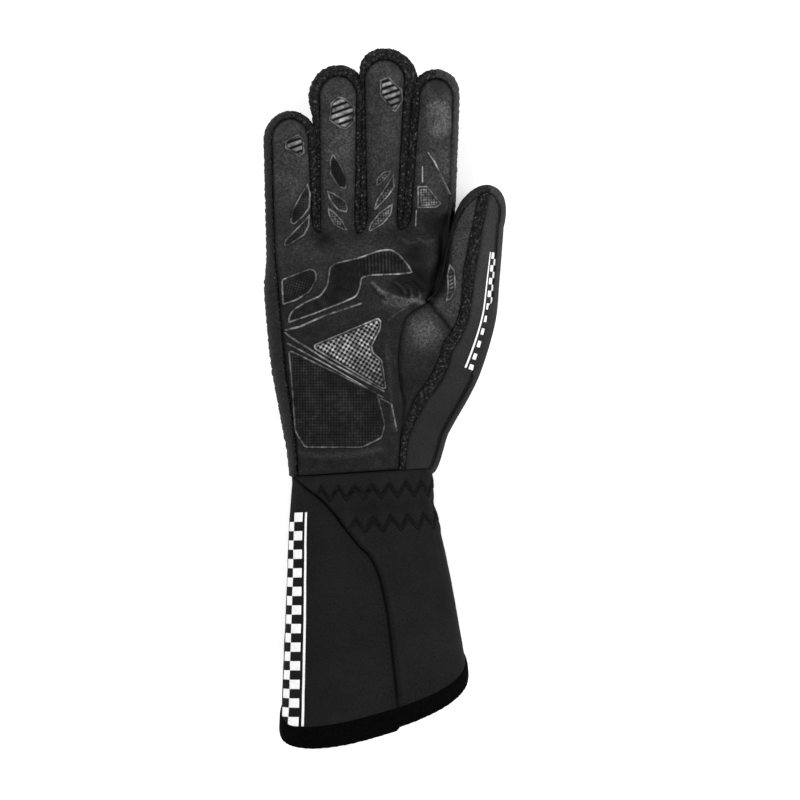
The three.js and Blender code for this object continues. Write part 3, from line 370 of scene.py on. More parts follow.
# %% Plan of the thumb
def thumb_plan(share, row):
    """Row 0 is the wrist, 1 the crotch, 2 the start of the thumb's tip and 3 its end."""
    low_x, low_y = palm_plan(np.full(np.shape(row), 4.0), CROTCH_SHARE * np.minimum(row, 1))
    climb = np.clip(row - 1, 0, 1)
    along = THUMB_TIP["left"] * climb ** THUMB_CLIMB
    left_x = np.where(row <= 1, low_x, read_table(THUMB_LEFT, along, 1) * HAND_WIDTH)
    left_y = np.where(row <= 1, low_y, low_y + along * THUMB_LENGTH)
    right_along = np.where(row <= 1, mix(THUMB_LOW, THUMB_CROTCH, np.minimum(row, 1)),
                           mix(THUMB_CROTCH, THUMB_TIP["right"], climb))
    right_x = (read_table(THUMB_RIGHT, right_along, 1) - THUMB_SIDE) * HAND_WIDTH
    low = wrist_seam_y(right_x)
    straight = CROTCH_Y + right_along * THUMB_LENGTH
    right_y = np.maximum(np.where(row < 1, mix(low, straight, smooth(row * 3)), straight), low)
    across, rise = half_disc(2 * share - 1, np.clip(row - 2, 0, 1))
    place = (across + 1) / 2
    return (mix(left_x, right_x, place) + rise * THUMB_TIP["skew"] * HAND_WIDTH,
            mix(left_y, right_y, place) + rise * THUMB_TIP["round"] * THUMB_LENGTH)


def welt_shares(row):
    """Where the welt begins and ends across the thumb, as shares from its left edge to its right one."""
    left, right = thumb_plan(0.0 * row, row), thumb_plan(0.0 * row + 1, row)
    half = read_table(WELT_RUN, row, 2) * WELT_WIDTH / 2 / np.hypot(right[0] - left[0], right[1] - left[1])
    start = np.maximum(read_table(WELT_RUN, row, 1) - half, LEAST_WELT)
    return start, start + 2 * half


# %% [markdown]
# ## Meshes from grids
# Each surface is a grid of points, so its faces follow from its shape. Grids that share an edge are welded
# by their rounded places, which is quicker than merging them by distance and gives the same mesh each time.
# Values that a finish needs, such as a shade, are stored on the points under a name.


# %% Grid helpers
def grid_faces(rows, columns):
    """Four corners for each cell of a grid, anticlockwise when columns run right and rows run up."""
    first = (np.arange(rows - 1)[:, None] * columns + np.arange(columns - 1)).ravel()
    return np.stack([first, first + 1, first + 1 + columns, first + columns], 1)


def patch(points, turned=False, **fields):
    """A grid as a flat list of points and faces, with any named values that belong to its points."""
    faces = grid_faces(*points.shape[:2])
    flat = {name: np.broadcast_to(field, points.shape[:2]).ravel() for name, field in fields.items()}
    return points.reshape(-1, 3), faces[:, ::-1] if turned else faces, flat


def join(patches):
    """Several patches as one, each patch's corners counted on from the last; named values missing are 0."""
    starts = np.cumsum([0] + [len(points) for points, _, _ in patches])
    names = sorted({name for _, _, fields in patches for name in fields})
    fields = {name: np.concatenate([flat.get(name, np.zeros(len(points))) for points, _, flat in patches])
              for name in names}
    faces = np.concatenate([faces + start for (_, faces, _), start in zip(patches, starts)])
    return np.concatenate([points for points, _, _ in patches]), faces, fields


def weld(points, faces, fields):
    """Points whose places agree to a thousandth of a millimetre become one."""
    keys = np.round(points * 1000 + 0.123).astype(np.int64)
    _, first, ids = np.unique(keys, axis=0, return_index=True, return_inverse=True)
    return points[first], ids.reshape(-1)[faces], {name: field[first] for name, field in fields.items()}


# %% From a surface to an object
def add_piece(name, surface, material, nodes=(), wall=0.0):
    """A mesh object from a joined surface; it rides on the glove's body and stands for its nodes."""
    points, faces, fields = weld(*surface)
    mesh = bpy.data.meshes.new(name)
    corners = [list(dict.fromkeys(face)) for face in faces.tolist()]
    mesh.from_pydata((points * MM).tolist(), [], [face for face in corners if len(face) > 2])
    mesh.polygons.foreach_set("use_smooth", np.ones(len(mesh.polygons), bool))
    for field_name, field in fields.items():
        layer = mesh.attributes.new(field_name, "FLOAT", "POINT")
        layer.data.foreach_set("value", field.astype(np.float32))
    mesh.materials.append(material)
    mesh.update()
    piece = bpy.data.objects.new(name, mesh)
    bpy.context.collection.objects.link(piece)
    if wall:
        solidify = piece.modifiers.new("wall", "SOLIDIFY")
        solidify.thickness = wall * MM
        solidify.offset = -1
    if nodes:
        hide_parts(*nodes)
    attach(piece, "root")
    print(name, len(points), "points", len(mesh.polygons), "faces")
    return piece


# %% [markdown]
# ## Finishes
# The palm is brushed microfibre leather: almost black, matt, with a fine grain and a nap that is paler where
# it has been rubbed; a stored shade scales it and also holds painted shade and painted highlights. The seams
# are raw-edged suede, full of light specks of fibre. The cuff and the back are a dense knit. The grips are
# printed silicone, smoother than all the rest, with painted highlights on their rims and tops. Each finish is a
# small tree of nodes on Object coordinates, so that its grain keeps its size on every panel.


# %% Node helpers
def start_material(name, roughness, specular):
    """A material with a plain principled shader, and its tree of nodes."""
    material = bpy.data.materials.new(name)
    material.use_nodes = True
    tree = material.node_tree
    shader = tree.nodes["Principled BSDF"]
    shader.inputs["Roughness"].default_value = roughness
    shader.inputs["Specular IOR Level"].default_value = specular
    return material, tree, shader


def add_noise(tree, size_mm, detail, roughness):
    """A noise whose blots are about size_mm across."""
    place = tree.nodes.new("ShaderNodeTexCoord")
    noise = tree.nodes.new("ShaderNodeTexNoise")
    noise.inputs["Scale"].default_value = 1 / (size_mm * MM)
    noise.inputs["Detail"].default_value = detail
    noise.inputs["Roughness"].default_value = roughness
    tree.links.new(place.outputs["Object"], noise.inputs["Vector"])
    return noise.outputs["Fac"]


def add_ramp(tree, value, stops):
    """Greys between stops of (place, grey)."""
    ramp = tree.nodes.new("ShaderNodeValToRGB")
    elements = ramp.color_ramp.elements
    while len(elements) < len(stops):
        elements.new(0.5)
    for element, (place, grey) in zip(elements, stops):
        element.position = place
        element.color = (grey, grey, grey * 1.01, 1)
    tree.links.new(value, ramp.inputs["Fac"])
    return ramp.outputs["Color"]


def add_math(tree, operation, first, second):
    """One step of arithmetic; either side may be a number or a socket."""
    node = tree.nodes.new("ShaderNodeMath")
    node.operation = operation
    for socket, value in zip(node.inputs, (first, second)):
        if isinstance(value, (int, float)):
            socket.default_value = value
        else:
            tree.links.new(value, socket)
    return node.outputs["Value"]


def add_field(tree, name):
    """The value that was stored on the mesh's points under a name."""
    node = tree.nodes.new("ShaderNodeAttribute")
    node.attribute_name = name
    return node.outputs["Fac"]


def add_mix(tree, share, first, second, blend="MIX"):
    """Two colours mixed or multiplied by a share."""
    node = tree.nodes.new("ShaderNodeMix")
    node.data_type = "RGBA"
    node.blend_type = blend
    sockets = [socket for socket in node.inputs if socket.enabled]
    for socket, value in zip(sockets, (share, first, second)):
        if isinstance(value, (int, float, tuple)):
            socket.default_value = value
        else:
            tree.links.new(value, socket)
    return next(socket for socket in node.outputs if socket.enabled)


def add_bump(tree, shader, height, distance_mm):
    """A bump of distance_mm where the height goes from 0 to 1."""
    bump = tree.nodes.new("ShaderNodeBump")
    bump.inputs["Distance"].default_value = distance_mm * MM
    tree.links.new(height, bump.inputs["Height"])
    tree.links.new(bump.outputs["Normal"], shader.inputs["Normal"])


def grey(value):
    """A neutral colour, a touch cooler than grey."""
    return (value, value, value * 1.01, 1.0)


# %% Leather and suede
def make_leather(name, dark, pale):
    """Mottled nap between two greys, scaled by the stored shade, with pores 0.7 mm apart."""
    material, tree, shader = start_material(name, 0.7, 0.15)
    nap = add_ramp(tree, add_noise(tree, 7, 5, 0.65), [(0.32, dark), (0.7, pale)])
    speck = add_ramp(tree, add_noise(tree, 1.1, 2, 0.7), [(0.36, 0.45), (0.5, 0.95), (0.66, 1.7)])
    colour = add_mix(tree, 1.0, nap, speck, "MULTIPLY")
    colour = add_mix(tree, 1.0, colour, add_field(tree, "shade"), "MULTIPLY")
    tree.links.new(colour, shader.inputs["Base Color"])
    pores = tree.nodes.new("ShaderNodeTexVoronoi")
    place = tree.nodes.new("ShaderNodeTexCoord")
    pores.inputs["Scale"].default_value = 1 / (0.75 * MM)
    tree.links.new(place.outputs["Object"], pores.inputs["Vector"])
    height = add_math(tree, "ADD", add_math(tree, "MULTIPLY", pores.outputs["Distance"], 0.5),
                      add_noise(tree, 1.6, 4, 0.6))
    add_bump(tree, shader, height, 0.3)
    return material


palm_leather = make_leather("brushed_palm_leather", 0.018, 0.036)


def make_suede(name, dark, speckle):
    """Nearly black raw suede; where a fine noise is high, a fibre catches the light."""
    material, tree, shader = start_material(name, 0.9, 0.1)
    specks = add_ramp(tree, add_noise(tree, 1.3, 3, 0.7),
                      [(0.42, dark * 0.3), (0.54, dark), (0.64, dark * 3), (0.76, speckle)])
    tree.links.new(specks, shader.inputs["Base Color"])
    add_bump(tree, shader, add_noise(tree, 1.0, 4, 0.75), 1.1)
    return material


raw_suede = make_suede("raw_seam_suede", 0.013, 0.24)
print("made", palm_leather.name, "and", raw_suede.name)

# %% Knit and pile
FULL_TURN = 6.2832


def make_knit(name, dark, pale, pitch):
    """Wales and courses as a product of two sines along the cloth's own coordinates, with blotches of wear."""
    material, tree, shader = start_material(name, 0.9, 0.06)
    wear = add_ramp(tree, add_noise(tree, 22, 4, 0.55), [(0.3, dark), (0.75, pale)])
    rib = add_math(tree, "SINE", add_math(tree, "MULTIPLY", add_field(tree, "across"), FULL_TURN / pitch), 0)
    course = add_math(tree, "SINE", add_math(tree, "MULTIPLY", add_field(tree, "down"), FULL_TURN / pitch), 0)
    weave = add_math(tree, "MULTIPLY_ADD", add_math(tree, "MULTIPLY", rib, course), 0.5)
    weave.node.inputs[2].default_value = 0.5
    grain = add_ramp(tree, add_noise(tree, 0.8, 2, 0.6), [(0.3, 0.7), (0.7, 1.3)])
    colour = add_mix(tree, 1.0, wear, grain, "MULTIPLY")
    colour = add_mix(tree, add_field(tree, "shade"), grey(dark * 0.15), colour)
    tree.links.new(colour, shader.inputs["Base Color"])
    height = add_math(tree, "ADD", add_math(tree, "MULTIPLY", weave, 0.6), add_noise(tree, 0.7, 3, 0.6))
    add_bump(tree, shader, height, 0.14)
    return material


cuff_knit = make_knit("cuff_knit", 0.0068, 0.0098, 1.1)
thumb_knit = make_knit("thumb_and_back_knit", 0.025, 0.034, 1.0)


def make_pile(name, dark):
    """Short dark pile: no gloss, a deep soft bump."""
    material, tree, shader = start_material(name, 1.0, 0.03)
    tone = add_ramp(tree, add_noise(tree, 1.2, 4, 0.7), [(0.35, dark * 0.5), (0.75, dark * 2)])
    tree.links.new(tone, shader.inputs["Base Color"])
    add_bump(tree, shader, add_noise(tree, 0.8, 4, 0.7), 0.5)
    return material


hem_pile = make_pile("hem_pile", 0.0012)
print("made", cuff_knit.name, thumb_knit.name, "and", hem_pile.name)


# %% Printed silicone, thread and white marks
def make_grip(name, dark, pale):
    """Printed silicone, dark and smooth, painted pale in patches as highlights wherever the stored highlight share
    is high.
    """
    material, tree, shader = start_material(name, 0.5, 0.05)
    fine_highlight_patches = add_ramp(tree, add_noise(tree, 4.0, 5, 0.65), [(0.34, 0.1), (0.5, 0.5), (0.62, 1.0)])
    broad_highlight_patches = add_ramp(tree, add_noise(tree, 20, 2, 0.5), [(0.4, 0.45), (0.56, 1.0)])
    share = add_math(tree, "MULTIPLY", add_math(tree, "MULTIPLY", add_field(tree, "relief"), fine_highlight_patches), broad_highlight_patches)
    colour = add_mix(tree, share, grey(dark), grey(pale))
    tree.links.new(colour, shader.inputs["Base Color"])
    add_bump(tree, shader, add_noise(tree, 0.8, 3, 0.6), 0.08)
    return material


def make_thread(name, tone):
    """Twisted polyester thread with a low sheen."""
    material, tree, shader = start_material(name, 0.6, 0.1)
    colour = add_ramp(tree, add_noise(tree, 1.0, 2, 0.5), [(0.3, tone * 0.6), (0.7, tone * 1.4)])
    tree.links.new(colour, shader.inputs["Base Color"])
    add_bump(tree, shader, add_noise(tree, 0.3, 2, 0.5), 0.05)
    return material


def make_print(name, tone):
    """A white heat-pressed mark, a little worn: a noise makes its white uneven."""
    material, tree, shader = start_material(name, 0.55, 0.3)
    colour = add_ramp(tree, add_noise(tree, 1.5, 4, 0.6), [(0.25, tone * 0.8), (0.6, tone)])
    tree.links.new(colour, shader.inputs["Base Color"])
    add_bump(tree, shader, add_noise(tree, 0.6, 3, 0.6), 0.06)
    return material


grip_print = make_grip("silicone_grip", 0.003, 0.6)
dark_thread = make_thread("dark_thread", 0.003)
pale_mark = make_print("white_mark", 0.8)
print("finishes:", len(bpy.data.materials))

# %% [markdown]
# ## Palm and fingers
# The palm and the fronts of the four fingers are cut from one piece of leather. On the real glove it is sewn
# along its edge, so it rolls down into the seam there, and it wrinkles where the thumb pulls on it. The sheet
# is the skin's front, lowered near its edges by a bell curve of the distance to the seam, and raised along
# a few drawn lines for the wrinkles.

# %% Wrinkles of the palm, as chains of places in the picture with a breadth and a height in millimetres
WRINKLES = [
    (((372, 283), (381, 291), (394, 297), (409, 301)), 1.1, 1.3),
    (((378, 291), (388, 299), (400, 303), (411, 304)), 0.9, 1.1),
    (((383, 302), (394, 306), (407, 307)), 1.0, 0.9),
    (((412, 300), (421, 303), (431, 306)), 1.3, 1.7),
    (((396, 283), (403, 288), (405, 294)), 0.9, 0.8),
    (((406, 285), (411, 290), (412, 296)), 0.9, 0.9),
    (((413, 284), (419, 290), (420, 297)), 0.9, 0.9),
    (((388, 321), (396, 314), (405, 309)), 0.8, 0.7),
    (((403, 239), (410, 243), (416, 242)), 1.0, 0.6),
    (((418, 238), (425, 242), (433, 240)), 1.0, 0.7),
    (((432, 154), (438, 170), (446, 188), (453, 201)), 0.9, 0.8),
    (((444, 160), (449, 176), (452, 196)), 0.8, 0.6),
    (((386, 345), (389, 370), (391, 400), (394, 430)), 1.6, 0.5),
    (((296, 452), (320, 456), (350, 455), (380, 449)), 2.2, 0.6),
    (((283, 400), (286, 425), (294, 447)), 1.8, 0.7),
    (((392, 262), (404, 258), (416, 262)), 2.5, -1.0),
    (((409, 268), (416, 278), (424, 286)), 2.8, -1.5),
    (((330, 240), (328, 252)), 2.5, -0.8),
]
# WRINKLE_HIGHLIGHT scales the painted highlights along the crests of the wrinkles
WRINKLE_STRENGTH, WRINKLE_HIGHLIGHT, WRINKLE_HIGH = 1.5, 1.0, 1.6
SEAM_ROLL, SEAM_DIP, SEAM_SHADE = 1.1, 0.9, 0.7
FOLD_LINE = in_view((447, 220), (444, 240), (442, 262), (435, 282), (431, 299))
FOLD_DEEP, FOLD_BREADTH, FOLD_SHADOW = 3.4, 2.6, 3.5
SHADE_LIMITS = (0.01, 2.6)
print("wrinkles:", len(WRINKLES))

# %% Spots on the leather, partly rubbed and grimy, partly painted shade between the parts and painted highlights: a place in the picture, a reach in millimetres and a strength
WEAR_AND_LIGHT_SPOTS = [
    ((415, 252), 6.5, -0.5), ((404, 284), 6, -0.45), ((326, 238), 5, -0.45), ((424, 280), 7, -0.6),
    ((358, 236), 4, -0.25), ((400, 236), 4, -0.25), ((292, 180), 9, 0.25), ((342, 142), 9, 0.55),
    ((388, 136), 8, 0.15), ((440, 112), 6, 0.65), ((440, 132), 6, 0.55), ((436, 82), 6, -0.45),
    ((448, 160), 6, 0.35), ((360, 246), 8, 0.15), ((428, 222), 6, -0.35), ((446, 226), 6, -0.6),
    ((360, 212), 6, -0.25), ((405, 215), 6, -0.25), ((412, 290), 8, -0.3), ((396, 303), 5, 0.3),
    ((420, 300), 4, 0.4), ((445, 180), 5, 0.2), ((300, 262), 8, 0.05), ((330, 460), 14, -0.06),
    ((392, 350), 9, 0.05),
]
print("rubbed and grimy spots:", len(WEAR_AND_LIGHT_SPOTS))


# %% Relief and shade of the leather
def worn_and_lit_shade(x, y, tone):
    """A tone with one bell curve added for each spot, and slow mottling; the spots are partly wear and partly
    painted shade and painted highlights.
    """
    shade = tone + 0.1 * ripple(x, y, 18, 51) + 0.12 * ripple(x, y, 6, 52)
    for place, reach, strength in WEAR_AND_LIGHT_SPOTS:
        spot_x, spot_y = in_view(place)[0]
        shade = shade + strength * bell(np.hypot(x - spot_x, y - spot_y), reach)
    return shade


def creases(x, y, wrinkles):
    """Each wrinkle adds its height times a bell curve of the distance to its line."""
    return sum(height * bell(line_distance(x, y, in_view(*line)), breadth) for line, breadth, height in wrinkles)


def palm_relief(x, y):
    """The wrinkles, with long ripples that add a little."""
    return 0.3 * ripple(x, y, 26, 3) + 0.22 * ripple(x, y, 8, 4) + WRINKLE_STRENGTH * creases(x, y, WRINKLES)


def gap_shadow(x, y, line, breadth):
    """Nearly black inside a gap: 1 - 0.97 exp(-(distance to its line / breadth) to the fourth power)."""
    return 1 - 0.97 * np.exp(-(line_distance(x, y, line) / breadth) ** 4)


def leather_patch(x, y, edge, shade):
    """The front skin at (x, y), wrinkled, and rolled down by a bell curve of the distance to the edge; its shade
    holds painted highlights on the wrinkles, and painted shade in the gap by the thumb and along the seams.
    """
    calm = smooth(edge / 4)
    fold = FOLD_DEEP * bell(line_distance(x, y, FOLD_LINE), FOLD_BREADTH)
    z = front_height(x, y) + palm_relief(x, y) * calm - SEAM_DIP * bell(edge, SEAM_ROLL) - fold
    # Painted highlights along the crests of the wrinkles
    painted_highlight = WRINKLE_HIGHLIGHT * np.clip(creases(x, y, WRINKLES), 0, WRINKLE_HIGH) ** 2
    shade = (worn_and_lit_shade(x, y, shade) + painted_highlight) * gap_shadow(x, y, FOLD_LINE, FOLD_SHADOW)
    shade = shade * (1 - SEAM_SHADE * bell(edge, 0.7))
    return patch(np.stack([x, y, z], 2), shade=np.clip(shade, *SHADE_LIMITS))


# %% The sheet of the palm
FINGER_COLUMNS, SHAFT_ROWS, TIP_ROWS, PALM_ROWS = 32, 110, 14, 165
shaft_rows = np.linspace(0, 1, SHAFT_ROWS + 1) ** 1.3
digit_rows = np.concatenate([shaft_rows, 1 + np.linspace(0, 1, TIP_ROWS + 1)[1:]])

place, share = np.meshgrid(np.linspace(0, 4, 4 * FINGER_COLUMNS + 1), np.linspace(0, 1, PALM_ROWS + 1))
x, y = palm_plan(place, share)
left_x, _ = palm_plan(0 * place, share)
right_x, _ = palm_plan(0 * place + 4, share)
valley_x = VALLEYS[1:4, 0] * HAND_WIDTH
valley_y = WRIST_Y + VALLEYS[1:4, 1] * PALM_LENGTH
web = np.min(np.hypot(x[..., None] - valley_x, y[..., None] - valley_y), axis=2)
edge = np.minimum.reduce([x - left_x, right_x - x, y - wrist_seam_y(x), web])
PALM_PALE_RUN = 60
palm_tone = 0.2 + 0.3 * smooth((y - ROOT_Y + PALM_PALE_RUN) / PALM_PALE_RUN)
leather_patches = [leather_patch(x, y, edge, palm_tone)]
print("palm sheet:", x.shape, "points")

# %% The fronts of the fingers, then all as one piece
for number in range(len(FINGERS)):
    across, row = np.meshgrid(np.linspace(-1, 1, FINGER_COLUMNS + 1), digit_rows)
    x, y = finger_plan(number, across, row)
    left_x, right_x = (finger_edge(number, side, np.minimum(row, 1))[0] for side in (-1, 1))
    half = np.maximum((right_x - left_x) / 2, 1)
    reach = np.hypot(*half_disc(across, np.clip(row - 1, 0, 1)))
    edge = half * (1 - np.where(row > 1, reach, np.abs(across)))
    for valley, facing in ((number, across > 0), (number - 1, across < 0)):
        if 0 <= valley < len(valley_x):
            far = np.hypot(x - valley_x[valley], y - valley_y[valley])
            edge = np.where(facing, np.minimum(edge, far), edge)
    tone = 0.52 + 0.28 * smooth((y - ROOT_Y) / 30)
    leather_patches.append(leather_patch(x, y, edge, tone))

add_piece("palm_leather_skin", join(leather_patches), palm_leather, ["palm_leather"], LEATHER_WALL)

# %% [markdown]
# ## Side strips between the fingers
# Strips of suede join the front of each finger to its back. Their edges are left raw on the outside, which
# gives the dark, fuzzy border round every fingertip. A strip is a wall between the two heights of the skin
# that swells outwards by a cosine, roughened by a fine noise along its outward direction.


# %% The wall beside a path
WALL_STEPS, WALL_STEEP = 14, np.pi / 3


def wall_arc(swell, front, back, angle):
    """How far out a wall stands, by a cosine, and its height between its two edges, by a sine."""
    out = swell * (np.cos(angle) - np.cos(WALL_STEEP)) / (1 - np.cos(WALL_STEEP))
    return out, (front + back) / 2 + (front - back) / 2 * np.sin(angle) / np.sin(WALL_STEEP)


def side_wall(x, y, swell, ends=(0, 0), fuzz=0.0, drop=SEAM_DIP):
    """Points from the front edge to the back one: outwards by swell times a cosine, in height by a sine.

    The front edge starts a drop below the skin, where a seam pulls the leather down."""
    dx, dy = np.gradient(x), np.gradient(y)
    length = np.hypot(dx, dy)
    out_x, out_y = -dy / length, dx / length
    for index, sign in zip((0, -1), ends):
        if sign:
            out_x[index], out_y[index] = sign, 0
    angle = np.linspace(WALL_STEEP, -WALL_STEEP, WALL_STEPS + 1)[:, None]
    out, height = wall_arc(swell, front_height(x, y) - drop, back_height(x, y), angle)
    points = np.stack([x + out_x * out, y + out_y * out, height], 2)
    rough = 1.6 * ripple(points[..., 0] + points[..., 2], points[..., 1] - points[..., 2], 2.3, 11, 14)
    rough = fuzz * (rough + 0.45 * rng.uniform(-1, 1, height.shape))
    rough *= np.sin(np.linspace(0, np.pi, WALL_STEPS + 1))[:, None] ** 0.5
    points[..., 0] += out_x * rough
    points[..., 1] += out_y * rough
    return points


# %% Paths round the digits and along the palm
TIP_MARKS = 41


def finger_side_path(number):
    """Up the finger's left edge, round its tip and down its right edge, with the swell at each point."""
    finger = list(FINGERS.values())[number]
    tip = np.linspace(-1, 1, TIP_MARKS)[1:-1]
    across = np.concatenate([-np.ones(len(digit_rows)), tip, np.ones(len(digit_rows))])
    row = np.concatenate([digit_rows, 0 * tip + 2, digit_rows[::-1]])
    x, y = finger_plan(number, across, row)
    side = np.where(across < 0, finger_edge(number, -1, np.minimum(row, 1))[2],
                    finger_edge(number, 1, np.minimum(row, 1))[2])
    bump = smooth((np.clip(row - 1, 0, 1) + 1 - np.abs(across)) / 1.4)
    return x, y, mix(side, finger["proud"] * HAND_WIDTH, bump)


palm_share = np.linspace(0, 1, PALM_ROWS + 1)[:-1]
x, y = palm_plan(0 * palm_share, palm_share)
outline = read_table(HAND, (y - WRIST_Y) / PALM_LENGTH, 1) * HAND_WIDTH
swell = mix(x - outline, FINGERS["pinky"]["sides"][0] * HAND_WIDTH, smooth((palm_share - 7 / 9) * 4.5))
palm_left = (x, y, swell)
right_share = np.linspace(CROTCH_SHARE, 1, 60)[:-1][::-1]
x, y = palm_plan(0 * right_share + 4, right_share)
palm_right = (x, y, read_table(LEATHER_RIGHT, (y - WRIST_Y) / PALM_LENGTH, 2) * HAND_WIDTH)
print("widest swell beside the palm:", round(float(swell.max()), 1), "mm")

# %% Make the five strips
STRIPS = ["outer_edge_strip", "pinky_ring_fourchette", "ring_middle_fourchette", "middle_index_fourchette",
          "index_edge_strip"]
SMOOTH_STRIPS = ("outer_edge_strip", "index_edge_strip")
strip_patches = {name: [] for name in STRIPS}
seam_paths = []


def strip_patch(wall, name):
    """A stretch of side wall; the two outer strips are leather, and the one beside the index finger falls into
    shadow at the thumb.
    """
    shade = 0.3 + 0 * wall[..., 0]
    if name == "index_edge_strip":
        shade = 0.02 + 0.75 * smooth((wall[..., 1] - 84) / 26)
    return patch(wall, turned=True, shade=shade)


for number in range(len(FINGERS)):
    path = [finger_side_path(number)]
    middle = len(path[0][0]) // 2
    if number == 0:
        path.insert(0, palm_left)
        middle += len(palm_left[0])
    if number == 3:
        path.append(palm_right)
    x, y, swell = (np.concatenate(values) for values in zip(*path))
    wall = side_wall(x, y, swell, ends=(-1 if number == 0 else 0, 0), fuzz=0.55 if number in (1, 2) else 0.4)
    seam_paths.append((x, y) if number < 3 else (x[:middle + 6], y[:middle + 6]))
    strip_patches[STRIPS[number]].append(strip_patch(wall[:, :middle + 1], STRIPS[number]))
    strip_patches[STRIPS[number + 1]].append(strip_patch(wall[:, middle:], STRIPS[number + 1]))

for name, patches in strip_patches.items():
    material = palm_leather if name in SMOOTH_STRIPS else raw_suede
    add_piece(name + "_skin", join(patches), material, [name], FABRIC_WALL)

# %% [markdown]
# ## The thumb
# Seen from the palm the thumb has three bands: leather on the inside, a narrow welt of raw suede, and smooth
# knit on the outside. Below the crotch the leather band is a separate oval gusset, sewn into the palm, that
# lets the thumb swing. The bands are read from one plan, so that they meet exactly.


# %% Thumb bands
THUMB_ROWS, GUSSET_ROWS = 90, 120
thumb_low_rows = np.linspace(0, 1, GUSSET_ROWS + 1)
thumb_high_rows = np.concatenate([1 + np.linspace(0, 1, THUMB_ROWS + 1) ** 1.3,
                                  2 + np.linspace(0, 1, TIP_ROWS + 1)[1:]])
THUMB_WRINKLES = [
    (((440, 262), (447, 275), (447, 292), (440, 304)), 1.0, 0.5),
    (((425, 306), (428, 318), (427, 330)), 2.0, 0.8),
    (((433, 312), (441, 322), (446, 331)), 1.2, 0.9),
    (((404, 372), (412, 384), (424, 390)), 1.6, -0.6),
    (((414, 318), (408, 335), (405, 356)), 1.5, 0.5),
]


def thumb_lift(x, y):
    """Soft wrinkles of the thumb's leather, as on the palm."""
    return 0.2 * ripple(x, y, 16, 8) + 0.1 * ripple(x, y, 6, 9) + creases(x, y, THUMB_WRINKLES)


def band_patch(low, high, rows, columns, rolls, tone, crown=0.0, seam_row=None):
    """A band between two shares that change with the row, crowned, and rolled down beside sewn sides."""
    share, row = np.meshgrid(np.linspace(0, 1, columns + 1), rows)
    share = mix(low[:, None], high[:, None], share)
    x, y = thumb_plan(share, row)
    rim, dip = 99.0, 0.0
    for side, roll in zip((low, high), rolls):
        end_x, end_y = thumb_plan(np.broadcast_to(side[:, None], share.shape), row)
        edge = np.hypot(x - end_x, y - end_y)
        rim = np.minimum(rim, edge)
        dip = dip + roll * bell(edge, SEAM_ROLL)
    if seam_row is not None:
        edge = np.hypot(x - x[seam_row], y - y[seam_row])
        rim = np.minimum(rim, edge)
        dip = dip + rolls[1] * bell(edge, SEAM_ROLL)
    z = front_height(x, y) - dip + crown * smooth(rim / 4) + thumb_lift(x, y) * smooth(rim / 3)
    shade = np.clip(tone(x, y) * (1 - np.minimum(dip, 1) * SEAM_SHADE), *SHADE_LIMITS)
    return patch(np.stack([x, y, z], 2), across=x, down=wrist_seam_y(x) - y, shade=shade)


# %% Tones of the bands, and the gusset
THUMB_GAP_LINE = in_view((449, 222), (447, 262), (441, 290), (430, 303))


def gusset_tone(x, y):
    """Darker near the wrist, with a painted highlight where the thumb's root swells."""
    root_highlight = np.exp(-((x - 20.5) ** 2 + (y - 34) ** 2) / 55)
    return worn_and_lit_shade(x, y, 0.16 + 0.12 * smooth((y + 5) / 40)) + 2.0 * root_highlight


def thumb_tone(x, y):
    """Even on the thumb, darker beside the gap to the index finger."""
    return worn_and_lit_shade(x, y, 0.9) * gap_shadow(x, y, THUMB_GAP_LINE, 2.4)


def knit_tone(x, y):
    """The knit is paler towards the tip of the thumb, where the light reaches it."""
    return 0.48 + 0.52 * smooth((y + 10) / 90) + 0.08 * ripple(x, y, 20, 61)


low_start, _ = welt_shares(thumb_low_rows)
high_start, high_end = welt_shares(thumb_high_rows)
gusset = band_patch(0 * low_start, low_start, thumb_low_rows, 44, (SEAM_DIP, SEAM_DIP), gusset_tone, 0.6, -1)
add_piece("thumb_gusset_skin", gusset, palm_leather, ["thumb_gusset"], LEATHER_WALL)


# %% The thumb's sides, tip and back
def thumb_side_path():
    """Up the left edge from the crotch, round the tip and down the right edge to the wrist."""
    tip = np.linspace(0, 1, TIP_MARKS)[1:-1]
    down = np.concatenate([thumb_high_rows[::-1], thumb_low_rows[::-1][1:]])
    share = np.concatenate([0 * thumb_high_rows, tip, 0 * down + 1])
    row = np.concatenate([thumb_high_rows, 0 * tip + 3, down])
    x, y = thumb_plan(share, row)
    along = THUMB_TIP["left"] * np.clip(row - 1, 0, 1) ** THUMB_CLIMB
    side = np.where(share == 0, read_table(THUMB_LEFT, along, 2), THUMB_SIDE) * HAND_WIDTH
    side[-1] = HAND[0, 2] * HAND_WIDTH - x[-1]
    bump = smooth((np.clip(row - 2, 0, 1) + 1 - np.abs(2 * share - 1)) / 1.4)
    return x, y, mix(side, THUMB_TIP["proud"] * HAND_WIDTH, bump), share, row


thumb_x, thumb_y, thumb_swell, thumb_share, thumb_row = thumb_side_path()
thumb_wall = side_wall(thumb_x, thumb_y, thumb_swell, ends=(0, 1), drop=0.0)
at_start, at_end = (int(np.argmin(np.abs(thumb_share - shares[-1]) + 9 * (thumb_row < 3)))
                    for shares in (high_start, high_end))
leather_side = thumb_wall[:, :at_start + 1]
thumb_leather_patches = [
    band_patch(0 * high_start, high_start, thumb_high_rows, 26, (0, SEAM_DIP), thumb_tone, 0.0, 0),
    # Painted shade on the thumb leather's inner side wall, deepest down by the crotch
    patch(leather_side, turned=True, shade=0.02 + 0.4 * smooth((leather_side[..., 1] - 88) / 12)),
]
add_piece("thumb_leather_skin", join(thumb_leather_patches), palm_leather, ["thumb_leather"],
          LEATHER_WALL)


